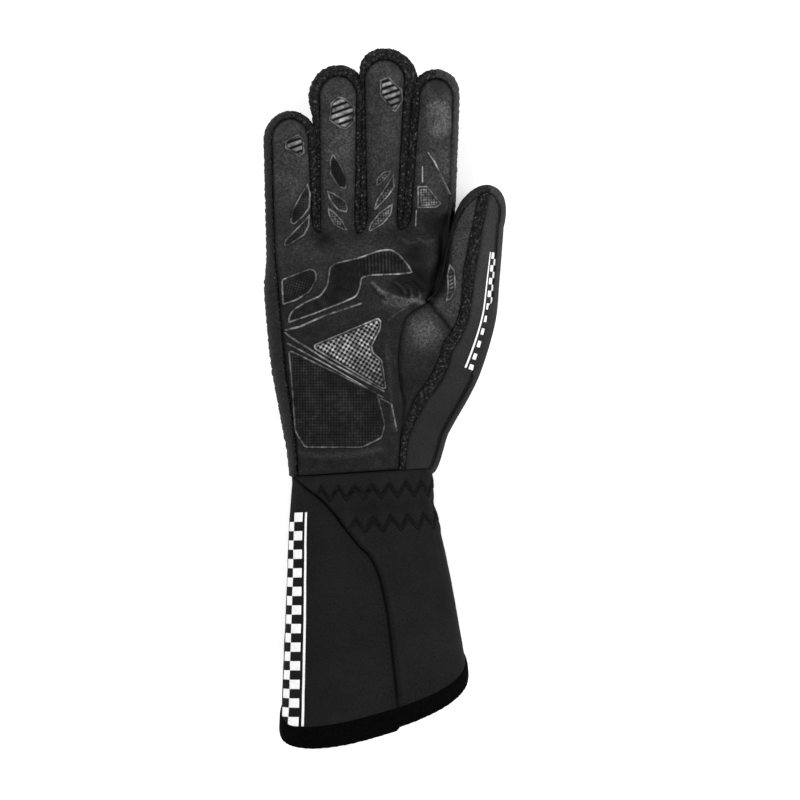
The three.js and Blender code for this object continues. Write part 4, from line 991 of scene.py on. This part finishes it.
# %% The welt
def roughen(surface, amount, size):
    """Raw fibre: each point moves up or down by a short ripple and a seeded draw."""
    points, faces, fields = surface
    points = points.copy()
    points[:, 2] += amount * (ripple(points[:, 0], points[:, 1], size, 21, 14)
                              + 0.4 * rng.uniform(-1, 1, len(points)))
    return points, faces, fields


welt_rows = np.concatenate([thumb_low_rows, thumb_high_rows[1:]])
welt_low, welt_high = welt_shares(welt_rows)
welt_front = roughen(band_patch(welt_low, welt_high, welt_rows, 14, (0.5, 0.5), knit_tone, 1.0), 0.45, 2.2)
welt_tip = patch(thumb_wall[:, at_start:at_end + 1], turned=True)
add_piece("thumb_welt_suede", join([welt_front, welt_tip]), raw_suede, ["thumb_welt"], LEATHER_WALL)


# %% The thumb's knit, front, side and back
def back_patch(x, y):
    """The skin's underside over a grid of places, facing down."""
    z = back_height(x, y)
    return patch(np.stack([x, y, z], 2), turned=True, across=x, down=-y, shade=0.6)


share, row = np.meshgrid(np.linspace(0, 1, 31), thumb_high_rows)
fabric_side = thumb_wall[:, at_end:]
fabric_patches = [
    band_patch(welt_high, 0 * welt_high + 1, welt_rows, 26, (0.7, 0), knit_tone),
    patch(fabric_side, turned=True, shade=knit_tone(fabric_side[..., 0], fabric_side[..., 1]),
          across=fabric_side[:1, :, 0] + fabric_side[:1, :, 2] - fabric_side[..., 2],
          down=wrist_seam_y(fabric_side[:1, :, 0]) - fabric_side[..., 1]),
    back_patch(*thumb_plan(share, row)),
]
add_piece("thumb_fabric_skin", join(fabric_patches), thumb_knit, ["thumb_back_fabric"],
          FABRIC_WALL)

# %% [markdown]
# ## The back of the hand
# The glove lies on its back, so this knit panel is hardly seen. It is made like the palm, on the skin's
# underside, and needs a coarser grid because nothing is pressed into it.

# %% Make the back
place, share = np.meshgrid(np.linspace(0, 4, 65), np.linspace(0, 1, 81))
back_patches = [back_patch(*palm_plan(place, share))]
for number in range(len(FINGERS)):
    across, row = np.meshgrid(np.linspace(-1, 1, 17), digit_rows)
    back_patches.append(back_patch(*finger_plan(number, across, row)))
share, row = np.meshgrid(np.linspace(0, 1, 41), thumb_low_rows)
back_patches.append(back_patch(*thumb_plan(share, row)))
add_piece("hand_back_skin", join(back_patches), thumb_knit, ["hand_back_fabric"], FABRIC_WALL)

# %% [markdown]
# ## The cuff
# The gauntlet is a tube of dense knit in two panels, from the wrist to a slanting mouth. Two rows of zigzag
# stitching hold an elastic inside the wrist and draw the cloth into puckers between the threads. The tube is
# a function of a turn round it and a share along it; the puckers are small steps outwards that depend on
# the distance to the zigzag.


# %% The tube of the cuff
def cuff_frame(along):
    """Half width, centre, top and middle height of the tube's flattened oval."""
    flare, shift = read_table(CUFF, along, 1), read_table(CUFF, along, 2)
    top = mix(WRIST_THICKNESS, MOUTH_THICKNESS, flare)
    return (mix(WRIST_WIDTH, MOUTH_WIDTH, flare) / 2, mix(WRIST_CENTRE, MOUTH_CENTRE, shift) * HAND_WIDTH,
            top, top * MIDDLE_SHARE)


def signed_power(value, power):
    """The sign of a value times a power of its size."""
    return np.sign(value) * np.abs(value) ** power


def cuff_point(turn, along, outward=0.0, lowest=0.0):
    """A superellipse round the tube, between the slanting wrist seam and the slanting mouth."""
    angle = turn * 2 * np.pi
    across = signed_power(np.cos(angle), 2 / SECTION_POWER)
    up = signed_power(np.sin(angle), 2 / SECTION_POWER)
    hem_y = WRIST_Y - CUFF_LENGTH + MOUTH_SLANT / 2 * across - MOUTH_TILT / 2 * up
    wrist_half, wrist_centre, _, _ = cuff_frame(0.0)
    start = wrist_seam_y(wrist_centre + wrist_half * across) - HALF_SEAM_GAP
    lean = SECTION_LEAN * (up * MOUTH_TILT - across * MOUTH_SLANT) / CUFF_LENGTH
    half, centre, top, middle = cuff_frame(along * (1 + lean))
    reach = np.where(up > 0, top - middle, middle + REST_SINK) + outward
    z = np.maximum(middle + reach * up, lowest)
    return np.stack(np.broadcast_arrays(centre + (half + outward) * across, mix(start, hem_y, along), z), -1)


def seam_turn(along):
    """The front seam's place round the tube, from its sideways place in the table."""
    return np.arccos(np.clip(-read_table(FRONT_SEAM, along, 1), -1, 1)) / (2 * np.pi)


# %% Measures round and along the cuff
GIRTH_TURNS, GIRTH_ALONG = np.linspace(-0.3, 1.3, 1601), 0.1
girth_lengths = running_length(cuff_point(GIRTH_TURNS, GIRTH_ALONG + 0 * GIRTH_TURNS))


def girth(turn):
    """Millimetres round the wrist from the start of the table of turns."""
    return np.interp(turn, GIRTH_TURNS, girth_lengths)


def turn_at(length):
    """The turn at a number of millimetres round the wrist."""
    return np.interp(length, girth_lengths, GIRTH_TURNS)


def cuff_reach(turn):
    """How far the tube runs down from the wrist seam to its mouth at a turn."""
    ends = cuff_point(turn, np.zeros(np.shape(turn))), cuff_point(turn, np.ones(np.shape(turn)))
    return ends[0][..., 1] - ends[1][..., 1]


print("girth of the wrist:", round(float(girth(1.0) - girth(0.0))), "mm")

# %% Zigzag rows and puckers
ZIGZAG_ROWS = (9.6, 26.0)
ZIGZAG_WAVE, ZIGZAG_REACH = 8.6, 3.3


def zigzag(across):
    """A triangle wave with the reach and length of the elastic's stitches."""
    phase = across / ZIGZAG_WAVE % 1
    return ZIGZAG_REACH * (4 * np.abs(phase - 0.5) - 1)


def cuff_relief(across, down, seam, rest, inner):
    """Grooves under the zigzag threads, puffs between them, a groove along the front seam and slow waves."""
    lift = 0.7 * ripple(across, down * 0.6, 40, 31) + 0.2 * ripple(across, down, 12, 32)
    lift = lift - bell(seam, 1.0) + 0.5 * bell(np.abs(seam) - 2.4, 1.5)
    if inner:
        for row in ZIGZAG_ROWS:
            gap = down - row
            near = np.abs(gap - zigzag(across)) * 0.55
            pucker = np.exp(-(gap / 6.0) ** 4) * smooth(-seam / 3)
            lift = lift + pucker * (0.9 - 1.9 * bell(near, 0.9))
        gather = bell(down - 18, 12)
        lift = lift - gather * (0.9 - 0.25 * np.cos(2 * np.pi * across / ZIGZAG_WAVE))
        lift = lift + 0.3 * bell(down - 40, 14) * ripple(across * 2.2, down * 0.35, 12, 33)
    return lift * smooth(down / 4) * smooth(rest / 7)


# %% The cuff's skin
def cuff_skin(turn, along, inner, proud=0.0):
    """The tube moved outwards by its relief; outwards is the cross product of its two tangents."""
    small = 1e-3
    points = cuff_point(turn, along)
    round_way = cuff_point(turn + small, along) - cuff_point(turn - small, along)
    down_way = cuff_point(turn, along + small) - cuff_point(turn, along - small)
    outward = unit(np.cross(round_way, down_way))
    down = along * cuff_reach(turn)
    seam = girth(turn) - girth(seam_turn(along))
    rest = (1 - HEM_WIDTH / CUFF_LENGTH - along) * CUFF_LENGTH
    lift = cuff_relief(girth(turn), down, seam, rest, inner) + proud
    points = points + outward * lift[..., None]
    points[..., 2] = np.maximum(points[..., 2], 0)
    # Darker along the front seam and the wrist seam; on the inner panel, painted light on the puffs and painted
    # shade in the grooves
    shade = 1 - 0.8 * bell(seam, 0.8) - 0.5 * bell(down, 0.8)
    return points, np.clip(shade + 0.25 * lift * inner, 0, 1), down


# %% Make the two cuff panels
CUFF_COLUMNS, CUFF_GRID_ROWS = 190, 190
TUCK, BACK_TURN = 2.4, 0.75
tuck_share = 1 - (HEM_WIDTH - TUCK) / CUFF_LENGTH


def cuff_panel(name, turn_low, turn_high, inner):
    """A panel between two turns, from the wrist seam to where it is tucked into the hem."""
    u, along = np.meshgrid(np.linspace(0, 1, CUFF_COLUMNS + 1), np.linspace(0, tuck_share, CUFF_GRID_ROWS + 1))
    turn = mix(turn_low(along), turn_high(along), u)
    points, shade, down = cuff_skin(turn, along, inner)
    add_piece(name, patch(points, across=girth(turn), down=down, shade=shade), cuff_knit,
              ["cuff_" + ("inner" if inner else "outer") + "_panel"], FABRIC_WALL)


cuff_panel("cuff_outer_knit", seam_turn, lambda along: BACK_TURN + 0 * along, False)
cuff_panel("cuff_inner_knit", lambda along: BACK_TURN - 1 + 0 * along, seam_turn, True)

# %% [markdown]
# ## The hem
# A soft black binding is folded over the mouth's edge and sewn round it. It is a rounded profile carried
# round the mouth, with a short pile that makes both of its edges uneven. The two ends overlap at the front
# seam, which leaves a small step.

# %% Make the hem
HEM_TURNS, HEM_GAP = 420, 0.3
LAP_STEP, LAP_RISE, LAP_RUN = 1.3, 0.004, 0.2
hem_share = 1 - HEM_WIDTH / CUFF_LENGTH
profile_turn = np.linspace(0, 2 * np.pi, 25)[:-1]
turn, around = np.meshgrid(np.arange(HEM_TURNS) / HEM_TURNS, profile_turn, indexing="ij")
down = 0.5 - 0.5 * signed_power(np.cos(around), 0.55)
out = signed_power(np.sin(around), 0.7)
pile = 0.25 * ripple(turn * 300, around * 2, 2.2, 41, 14) + 0.08 * rng.uniform(-1, 1, turn.shape)
past_lap = turn - seam_turn(1.0)
step = LAP_STEP * smooth(past_lap / LAP_RISE) * smooth((LAP_RUN - past_lap) / LAP_RUN)
along = mix(1 - (HEM_WIDTH - HEM_GAP) / CUFF_LENGTH, 1, down) + (pile * 0.8 + step * down) / CUFF_LENGTH
depth = (1 - out) / 2
outward = (HEM_WALL - FABRIC_WALL) / 2 - HEM_WALL * depth + pile * (out > 0)
hem_points = cuff_point(turn, along, outward, HEM_WALL * depth)
closed = np.concatenate([hem_points, hem_points[:1]])
closed = np.concatenate([closed, closed[:, :1]], 1)
add_piece("hem_binding_pile", patch(closed, turned=True), hem_pile, ["hem_binding"])

# %% [markdown]
# ## Threads and raw seams
# The digits are sewn with their seam allowances outside, so a rough double edge stands up along the leather,
# overcast with dark thread. The edge is a small round profile carried along the seam and roughened. A stitch
# is one low ellipsoid with a few faces, placed again and again along a path.


# %% Carried profiles and rows of stitches
def path_frame(path):
    """Unit vectors along a path, level across it, and up at right angles to both."""
    tangent = unit(np.gradient(path, axis=0))
    across = unit(np.cross(tangent, [0, 0, 1.0]))
    return tangent, across, np.cross(across, tangent)


def carry(path, radius, sides, rough=0.0):
    """Rings of a circle at right angles to a path, as a tube closed by shrinking its two ends."""
    _, side, up = path_frame(path)
    angle = np.linspace(0, 2 * np.pi, sides + 1)[:, None]
    size = np.full(len(path), radius) + rough * rng.uniform(-1, 1, len(path))
    size[0] = size[-1] = 0.0
    rings = path + size[:, None] * (np.cos(angle)[..., None] * side + np.sin(angle)[..., None] * up)
    if rough:
        shake = rough * rng.uniform(-1, 1, rings.shape) * (size > 0)[:, None]
        rings[:-1] += shake[:-1]
        rings[-1] = rings[0]
    return patch(rings.transpose(1, 0, 2), turned=True)


def even_path(points, pitch):
    """The same line with its points a steady distance apart."""
    length = running_length(points)
    marks = np.linspace(0, length[-1], max(int(length[-1] / pitch), 2) + 1)
    return np.stack([np.interp(marks, length, points[:, axis]) for axis in range(3)], 1)


BALL_RINGS, BALL_TURNS = 5, 7


def stitch_row(path, along, side, up):
    """Ellipsoids at the points of a path; their half sizes lie along it, across it and upwards."""
    tangent, across, rise = path_frame(path)
    polar, turn = np.meshgrid(np.linspace(0, np.pi, BALL_RINGS), np.linspace(0, 2 * np.pi, BALL_TURNS))
    ball = np.stack([np.cos(polar), np.sin(polar) * np.cos(turn), np.sin(polar) * np.sin(turn)], 2).reshape(-1, 3)
    points = (path[:, None] + along * ball[None, :, :1] * tangent[:, None]
              + side * ball[None, :, 1:2] * across[:, None] + up * ball[None, :, 2:] * rise[:, None])
    faces = grid_faces(BALL_TURNS, BALL_RINGS)[None] + (np.arange(len(path)) * len(ball))[:, None, None]
    return points.reshape(-1, 3), faces.reshape(-1, 4), {}


# %% Raw edges along the leather
RIDGE_OUT, RIDGE_SINK, RIDGE_RADIUS, RIDGE_ROUGH, RIDGE_STEP = 0.5, 0.55, 0.6, 0.34, 0.55
STITCH_PITCH, STITCH_STRAY = 2.1, 0.3
ridges, stitches = [], []
for x, y in seam_paths:
    dx, dy = np.gradient(x), np.gradient(y)
    length = np.hypot(dx, dy)
    line = np.stack([x - RIDGE_OUT * dy / length, y + RIDGE_OUT * dx / length, front_height(x, y) - RIDGE_SINK], 1)
    line = even_path(line, RIDGE_STEP)
    ridges.append(carry(line, RIDGE_RADIUS, 8, RIDGE_ROUGH))
    knots = even_path(line, STITCH_PITCH)
    knots = knots + rng.uniform(-STITCH_STRAY, STITCH_STRAY, knots.shape) + [0, 0, 0.25]
    stitches.append(stitch_row(knots, 0.3, 0.75, 0.4))
add_piece("raw_seam_edges", join(ridges), raw_suede)
add_piece("overcast_stitches", join(stitches), dark_thread)

# %% Zigzag threads of the elastic and the stitches beside the front seam
threads = []
for row in ZIGZAG_ROWS:
    last = seam_turn(row / cuff_reach(np.array(0.3)))
    marks = np.arange(girth(BACK_TURN - 1) + 2, girth(last) - 1.5, 0.45)
    turn = turn_at(marks)
    along = (row + zigzag(marks)) / cuff_reach(turn)
    threads.append(carry(cuff_skin(turn, along, True, 0.3)[0], 0.55, 7))
add_piece("elastic_zigzag_threads", join(threads), dark_thread)

along = np.linspace(0.05, hem_share, 400)
rows = []
for offset, inner in ((1.9, False), (-1.9, True)):
    turn = turn_at(girth(seam_turn(along)) + offset)
    rows.append(stitch_row(even_path(cuff_skin(turn, along, inner, 0.05)[0], 2.7), 0.95, 0.24, 0.2))
add_piece("front_seam_topstitch", join(rows), dark_thread)

# %% [markdown]
# ## White marks
# Plain white heat-pressed trim runs along the cuff's outer edge and the thumb: a thin line with a chequered
# band beside it. Each square is its own small grid on the skin, a tenth of a millimetre proud of the knit.

# %% Small grids that follow the cuff
PRINT_RISE, LINE_CELLS = 0.14, 60


def square(place, low_u, high_u, low_v, high_v, cells=5):
    """A grid between two values of each parameter, read through a function of both."""
    u, v = np.meshgrid(np.linspace(low_u, high_u, cells + 1), np.linspace(low_v, high_v, cells + 1))
    return patch(place(u, v))


def chequers(place, column_edges, row_edges):
    """Every other cell of a band two columns wide: an even row has its left cell, an odd one its right."""
    return [square(place, column_edges[row % 2], column_edges[row % 2 + 1], row_edges[row], row_edges[row + 1])
            for row in range(len(row_edges) - 1)]


def on_cuff(turn, down):
    """A place on the outer cuff from its turn and its distance below the wrist seam."""
    return cuff_skin(turn, down / cuff_reach(turn), False, PRINT_RISE)[0]


# %% Small grids that follow the thumb
MARK_LOW, MARK_HIGH, MARK_INSETS = 0.89, 1.8, (3.8, 1.8)


def on_thumb(across, row):
    """Across 0 to 1 runs from a slanting line to the outer edge of the knit's front, and 1 to 2 down its side."""
    edge_x, edge_y = thumb_plan(0 * row + 1, row)
    next_x, next_y = thumb_plan(0 * row + 1, row - 0.01)
    length = np.hypot(next_x - edge_x, next_y - edge_y)
    out_x, out_y = (edge_y - next_y) / length, (next_x - edge_x) / length
    inset = mix(*MARK_INSETS, (row - MARK_LOW) / (MARK_HIGH - MARK_LOW)) * np.maximum(1 - across, 0)
    x, y = edge_x - out_x * inset, edge_y - out_y * inset
    front = front_height(x, y) + thumb_lift(x, y) * smooth(inset / 3)
    angle = WALL_STEEP - 0.5 * np.maximum(across - 1, 0)
    out, z = wall_arc(THUMB_SIDE * HAND_WIDTH, front, back_height(x, y), angle)
    return np.stack([x + out_x * (out + PRINT_RISE), y + out_y * (out + PRINT_RISE), z + PRINT_RISE], 2)


# %% Chequers on the cuff and the thumb
CUFF_LINE, CUFF_COLUMN_EDGES = (0.372, 0.379), (0.388, 0.428, 0.468)
cuff_row_edges = 18 + 4.6 * np.arange(24)
cuff_marks = [square(on_cuff, *CUFF_LINE, cuff_row_edges[0], cuff_row_edges[-1], LINE_CELLS)]
cuff_marks += chequers(on_cuff, CUFF_COLUMN_EDGES, cuff_row_edges)
cuff_print = join([(points, faces[:, ::-1], fields) for points, faces, fields in cuff_marks])
add_piece("cuff_chequer_trim", cuff_print, pale_mark, wall=0.1)

THUMB_LINE, THUMB_COLUMN_EDGES = (-0.25, 0.0), (0.3, 1.0, 2.0)
thumb_marks = [square(on_thumb, *THUMB_LINE, MARK_LOW, MARK_HIGH, LINE_CELLS)]
thumb_marks += chequers(on_thumb, THUMB_COLUMN_EDGES, mix(MARK_LOW, MARK_HIGH, np.arange(20) / 19))
add_piece("thumb_chequer_trim", join(thumb_marks), pale_mark, wall=0.1)

# %% [markdown]
# ## Grip pads
# Silicone is printed on the leather in plates with a raised rim, which grip the wheel. Inside the rims are
# fine dots, dimples or slanted bars. Each pad is a square grid of places kept where it is inside the pad's
# rounded outline. Its height over the leather depends on the distance to that outline: it starts just under
# the leather, climbs to the plate, and swells into a rim.


# %% Outlines of the pads
OUTLINE_POINTS = 240


def round_outline(corners, soft):
    """An even chain round the corners, blurred by a bell curve so that the corners become round."""
    count, loop = OUTLINE_POINTS, np.vstack([corners, corners[:1]])
    length = running_length(loop)
    marks = np.linspace(0, length[-1], count + 1)[:-1]
    chain = np.stack([np.interp(marks, length, loop[:, axis]) for axis in (0, 1)], 1)
    offset = (np.arange(count) + count // 2) % count - count // 2
    weight = np.exp(-0.5 * (offset * length[-1] / count / soft) ** 2)
    blurred = np.fft.ifft(np.fft.fft(chain, axis=0) * np.fft.fft(weight / weight.sum())[:, None], axis=0)
    return blurred.real


def inside_distance(x, y, outline):
    """The distance to a closed outline, positive inside it, found by counting crossings."""
    ax, ay = outline.T
    bx, by = np.roll(outline, -1, axis=0).T
    inside = np.zeros(x.shape, bool)
    nearest = np.full(x.shape, 1e9)
    for x0, y0, x1, y1 in zip(ax, ay, bx, by):
        crosses = (y0 > y) != (y1 > y)
        inside ^= crosses & (x < (x1 - x0) * (y - y0) / (y1 - y0 + 1e-12) + x0)
        t = np.clip(((x - x0) * (x1 - x0) + (y - y0) * (y1 - y0)) / ((x1 - x0) ** 2 + (y1 - y0) ** 2), 0, 1)
        nearest = np.minimum(nearest, np.hypot(x - x0 - t * (x1 - x0), y - y0 - t * (y1 - y0)))
    return np.where(inside, nearest, -nearest)


# %% Patterns inside the rims
def dots(x, y, pitch, angle):
    """Staggered bumps: half of one plus the product of two cosines."""
    u, v = x * np.cos(angle) + y * np.sin(angle), y * np.cos(angle) - x * np.sin(angle)
    return 0.5 + 0.5 * np.cos(2 * np.pi * u / pitch) * np.cos(2 * np.pi * v / pitch)


def ribs(x, y, pitch, angle):
    """Bars along a direction: a cosine of the distance across them."""
    return 0.5 + 0.5 * np.cos(2 * np.pi * (y * np.cos(angle) - x * np.sin(angle)) / pitch)


# %% A pad over its outline
PAD_STEP, PAD_WALL, PAD_SINK, PAD_SLOPE = 0.36, 0.35, 0.35, 0.5
RIM_PLACE, RIM_BREADTH, FIELD_START, FIELD_RUN = 0.7, 0.4, 1.3, 0.7


def pad_patch(distance, x, y, plate, rim, pattern, base, painted_highlight):
    """Cells whose corners are all inside, at the leather's height plus plate, rim and pattern."""
    body = smooth(distance / PAD_SLOPE)
    edge = bell(distance - RIM_PLACE, RIM_BREADTH)
    field = smooth((distance - FIELD_START) / FIELD_RUN)
    lift = mix(-PAD_SINK, plate, body) + rim * edge * body + pattern[0] * pattern[1] * field
    z = base(x, y) + lift
    # Painted highlights on the rim and on the tops of the pattern, read by the silicone's colour
    relief = np.clip(painted_highlight[0] * edge * body + painted_highlight[1] * pattern[1] ** 1.5 * field, 0, 1)
    faces = grid_faces(*x.shape)
    kept = faces[np.all(distance.ravel()[faces] > 0, axis=1)]
    used, ids = np.unique(kept, return_inverse=True)
    points = np.stack([x, y, z], 2).reshape(-1, 3)[used]
    shade = worn_and_lit_shade(x, y, 0.8) + 0.7 * smooth(distance / 3)
    return points, ids.reshape(kept.shape), {"relief": relief.ravel()[used], "shade": shade.ravel()[used]}


def leather_top(x, y):
    """The palm leather's surface away from its seams."""
    return front_height(x, y) + palm_relief(x, y)


def thumb_top(x, y):
    """The thumb leather's surface away from its seams."""
    return front_height(x, y) + thumb_lift(x, y)


def add_pad(name, corners, soft, plate, rim, pattern, painted_highlight, base=leather_top, nodes=(), material=grip_print,
            step=PAD_STEP):
    """A printed pad over corners rounded by soft; the pattern is a depth and a function of x and y.

    The painted highlight gives how strongly the rim and the pattern are painted pale, as highlights."""
    outline = round_outline(np.array(corners), soft)
    x, y = np.meshgrid(*(np.arange(low, high + step, step) for low, high in zip(outline.min(0), outline.max(0))))
    distance = inside_distance(x, y, outline)
    surface = pad_patch(distance, x, y, plate, rim, (pattern[0], pattern[1](x, y)), base, painted_highlight)
    add_piece(name, surface, material, nodes, PAD_WALL)


# %% The four palm pads
def upper_pattern(x, y):
    """Fine upright ribs towards the thumb, dots towards the little finger."""
    return mix(dots(x, y, 1.5, 0.6), ribs(x, y, 1.7, 1.6), smooth((x + 16) / 8))


def stud_pattern(x, y):
    """Larger dots, cut off flat at their tops and bottoms."""
    return smooth(1.9 * dots(x, y, 2.7, 0.235) - 0.45)


add_pad("outer_palm_grip",
        in_view((280.5, 279), (311, 267.5), (317.5, 271), (318, 281), (311, 293), (297.5, 301.5), (282, 306.5)),
        1.1, 0.35, 0.5, (0.22, lambda x, y: dots(x, y, 1.9, 0.5)), (0.5, 0.06), nodes=["outer_palm_pad"])
add_pad("upper_palm_grip",
        in_view((328.5, 267.5), (333.5, 263), (359, 257), (379.5, 249.5), (391.5, 248.5), (400, 253.5), (409, 264),
                (414.5, 274), (400, 276), (373, 277), (362.5, 279), (362, 288), (357.5, 298), (342, 305),
                (316, 315), (287, 325), (288, 316), (292.5, 309), (304.5, 301.5), (320, 295), (326.5, 284.5)),
        1.2, 0.35, 0.5, (0.22, upper_pattern), (0.55, 0.045), nodes=["upper_palm_pad"])
add_pad("centre_palm_grip",
        in_view((313, 344.5), (378, 317), (382.5, 320.5), (381.5, 329.5), (373, 346), (374, 352), (383, 359.5),
                (387.5, 389), (383, 390.5), (314, 350)),
        0.9, 0.3, 0.55, (0.5, stud_pattern), (0.7, 0.86), nodes=["centre_palm_pad"], step=0.25)
add_pad("heel_palm_grip",
        in_view((287.5, 349.5), (292.5, 350), (378, 392), (380, 397.5), (386.5, 424.5), (383, 438.5),
                (362.5, 448.5), (304.5, 448.5), (294, 431.5), (291.5, 394)),
        1.3, 0.3, 0.4, (0.24, lambda x, y: dots(x, y, 2.0, 0.79)), (0.3, 0.055), nodes=["heel_palm_pad"])


# %% Bars and nets of the finger pads
def bars(x, y):
    """Flat-topped slanted bars: a cosine stretched and cut off at both ends."""
    return np.clip(1.9 * (ribs(x, y, 3.0, 0.35) - 0.5) + 0.66, 0, 1)


def net(x, y):
    """A fine net of dots for the leaves."""
    return dots(x, y, 1.8, 0.8)


# %% Pads of the fingers and the thumb
TIP_PADS = {
    "pinky_tip": ((284.5, 141), (298.5, 133.5), (305, 139.5), (305.5, 153), (300, 158.5), (284.5, 149)),
    "ring_tip": ((330, 103), (338, 96), (346, 98), (356, 107), (356, 122), (346, 131), (340, 129), (328, 121)),
    "middle_tip": ((379, 80), (389, 76), (394.5, 82), (403, 89), (404, 101), (396, 113), (391, 111.5), (379, 96)),
}
LEAF_PADS = {
    "pinky_upper_leaf": (((308, 181), (311.5, 193), (310.5, 208), (304, 217), (294, 226), (289, 223), (291, 210),
                          (299, 195)), (0.42, 0.06)),
    "pinky_lower_leaf": (((310.5, 211), (310, 226), (305, 236), (290, 246), (283, 248), (284, 240), (293, 230.5),
                          (304, 219)), (0.5, 0.12)),
    "ring_upper_leaf": (((332.5, 151), (342, 165), (348.5, 180), (346.5, 190), (338, 188.5), (329, 174),
                         (328.5, 161)), (0.26, 0.03)),
    "ring_middle_leaf": (((325.5, 189), (334, 192), (346.5, 200.5), (349, 209), (346.5, 213.5), (337, 211),
                          (328.5, 200)), (0.5, 0.2)),
    "ring_lower_leaf": (((326.5, 205), (334, 210.5), (343, 219.5), (349, 231), (344.5, 231.5), (333.5, 226),
                         (327.5, 215)), (0.5, 0.5)),
    "middle_upper_leaf": (((375, 188), (376, 178), (383, 171), (393.5, 168.5), (391, 174), (381, 185)),
                          (0.6, 0.75)),
    "middle_middle_leaf": (((394.5, 170), (395.5, 187), (389, 197), (375.5, 211), (372.5, 209.5), (376, 199),
                            (386, 184)), (0.5, 0.25)),
    "middle_lower_leaf": (((394, 201), (392.5, 214), (384, 224.5), (370.5, 232.5), (367.5, 231), (369.5, 223),
                           (379, 211.5)), (0.5, 0.5)),
    "index_leaf": (((416.5, 185), (427.5, 185), (443, 203.5), (436.5, 208.5), (416.5, 209)), (0.5, 0.9)),
}
for name, places in TIP_PADS.items():
    add_pad(name + "_grip", in_view(*places), 0.35, 0.15, 0.3, (0.55, bars), (0.55, 0.9), nodes=[name + "_pad"])
for name, (places, painted_highlight) in LEAF_PADS.items():
    add_pad(name + "_grip", in_view(*places), 0.45, 0.3, 0.45, (0.3, net), painted_highlight, nodes=[name])
add_pad("index_tip_grip", in_view((424, 101), (444, 97), (452, 106), (452, 138), (440, 143), (425, 134)), 2.0,
        0.1, 0.0, (0.1, net), (0, 0), nodes=["index_tip_pad"], material=palm_leather)
add_pad("thumb_grip",
        in_view((449, 262), (455.5, 271), (456.5, 290), (451, 301), (444.5, 303), (446.5, 290), (446, 275)),
        0.5, 0.3, 0.4, (0.22, lambda x, y: ribs(x, y, 1.7, 0.5)), (0.4, 0.3), base=thumb_top, nodes=["thumb_pad"])

# %% Printed lines beside the pads
GRIP_LINES = [
    (((284.5, 330.5), (300, 327), (325, 316), (362.5, 303.5)), 0.5),
    (((284.5, 332), (291, 337.5), (330, 362), (385, 392)), 0.5),
    (((287, 343), (330, 366.5), (384, 398)), 0.4),
    (((380, 398), (391.5, 404), (397, 431.5)), 0.45),
    (((427.5, 151.5), (434.5, 162), (443.5, 179.5), (450.5, 195)), 0.4),
    (((422.5, 165.5), (422.5, 183)), 0.35),
    (((416.5, 209), (415.5, 226.5)), 0.35),
]
beads = []
for places, radius in GRIP_LINES:
    line = even_path(np.column_stack([in_view(*places), np.zeros(len(places))]), 0.6)
    line[:, 2] = leather_top(line[:, 0], line[:, 1]) + 0.1
    points, faces, _ = carry(line, radius, 8)
    # Half-strength painted highlights on the printed lines
    beads.append((points, faces, {"relief": np.full(len(points), 0.5)}))
add_piece("palm_grip_lines", join(beads), grip_print)

# %% [markdown]
# ## The floor, the light and the camera
# The glove lies on a pale floor under broad soft lights. The camera looks straight down at the palm, far
# enough away for the fingers to keep their true proportions.

# %% The floor
FLOOR_HALF, FLOOR_Z = 3, -0.0005
floor_mesh = bpy.data.meshes.new("floor")
signs = ((-1, -1), (1, -1), (1, 1), (-1, 1))
floor_mesh.from_pydata([(u * FLOOR_HALF, v * FLOOR_HALF, FLOOR_Z) for u, v in signs], [], [(0, 1, 2, 3)])
floor = bpy.data.objects.new("floor", floor_mesh)
bpy.context.collection.objects.link(floor)
floor_paint, _, floor_shader = start_material("pale_floor", 0.9, 0.1)
floor_shader.inputs["Base Color"].default_value = (0.9, 0.9, 0.9, 1)
floor_shader.inputs["Emission Color"].default_value = (1, 1, 1, 1)
floor_shader.inputs["Emission Strength"].default_value = 0.3
floor_mesh.materials.append(floor_paint)
print("floor", 2 * FLOOR_HALF, "m wide")


# %% Lights
def add_light(name, place, size, power):
    """A square soft box that looks from its place at the middle of the glove."""
    light = bpy.data.lights.new(name, "AREA")
    light.size = size
    light.energy = power
    lamp = bpy.data.objects.new(name, light)
    lamp.location = place
    lamp.rotation_euler = (-Vector(place)).to_track_quat("-Z", "Y").to_euler()
    bpy.context.collection.objects.link(lamp)


add_light("key_softbox", (-0.9, 0.9, 1.1), 0.7, 21)
add_light("fill_softbox", (1.2, 0.3, 0.9), 0.9, 21)
add_light("low_softbox", (0.1, -1.3, 0.8), 0.9, 12)
world = bpy.data.worlds.new("studio")
world.use_nodes = True
world.node_tree.nodes["Background"].inputs["Color"].default_value = (1, 1, 1, 1)
world.node_tree.nodes["Background"].inputs["Strength"].default_value = 0.35
bpy.context.scene.world = world
bpy.context.scene.view_settings.view_transform = "Standard"
print("lights:", len(bpy.data.lights))

# %% The camera
camera_data = bpy.data.cameras.new("camera")
camera_data.sensor_width = 36
camera_data.lens = 180
camera = bpy.data.objects.new("camera", camera_data)
camera.location = (0.00825, -0.0005, 2.02)
bpy.context.collection.objects.link(camera)
bpy.context.scene.camera = camera
print("the camera is", round(camera.location.z, 2), "m above the floor")
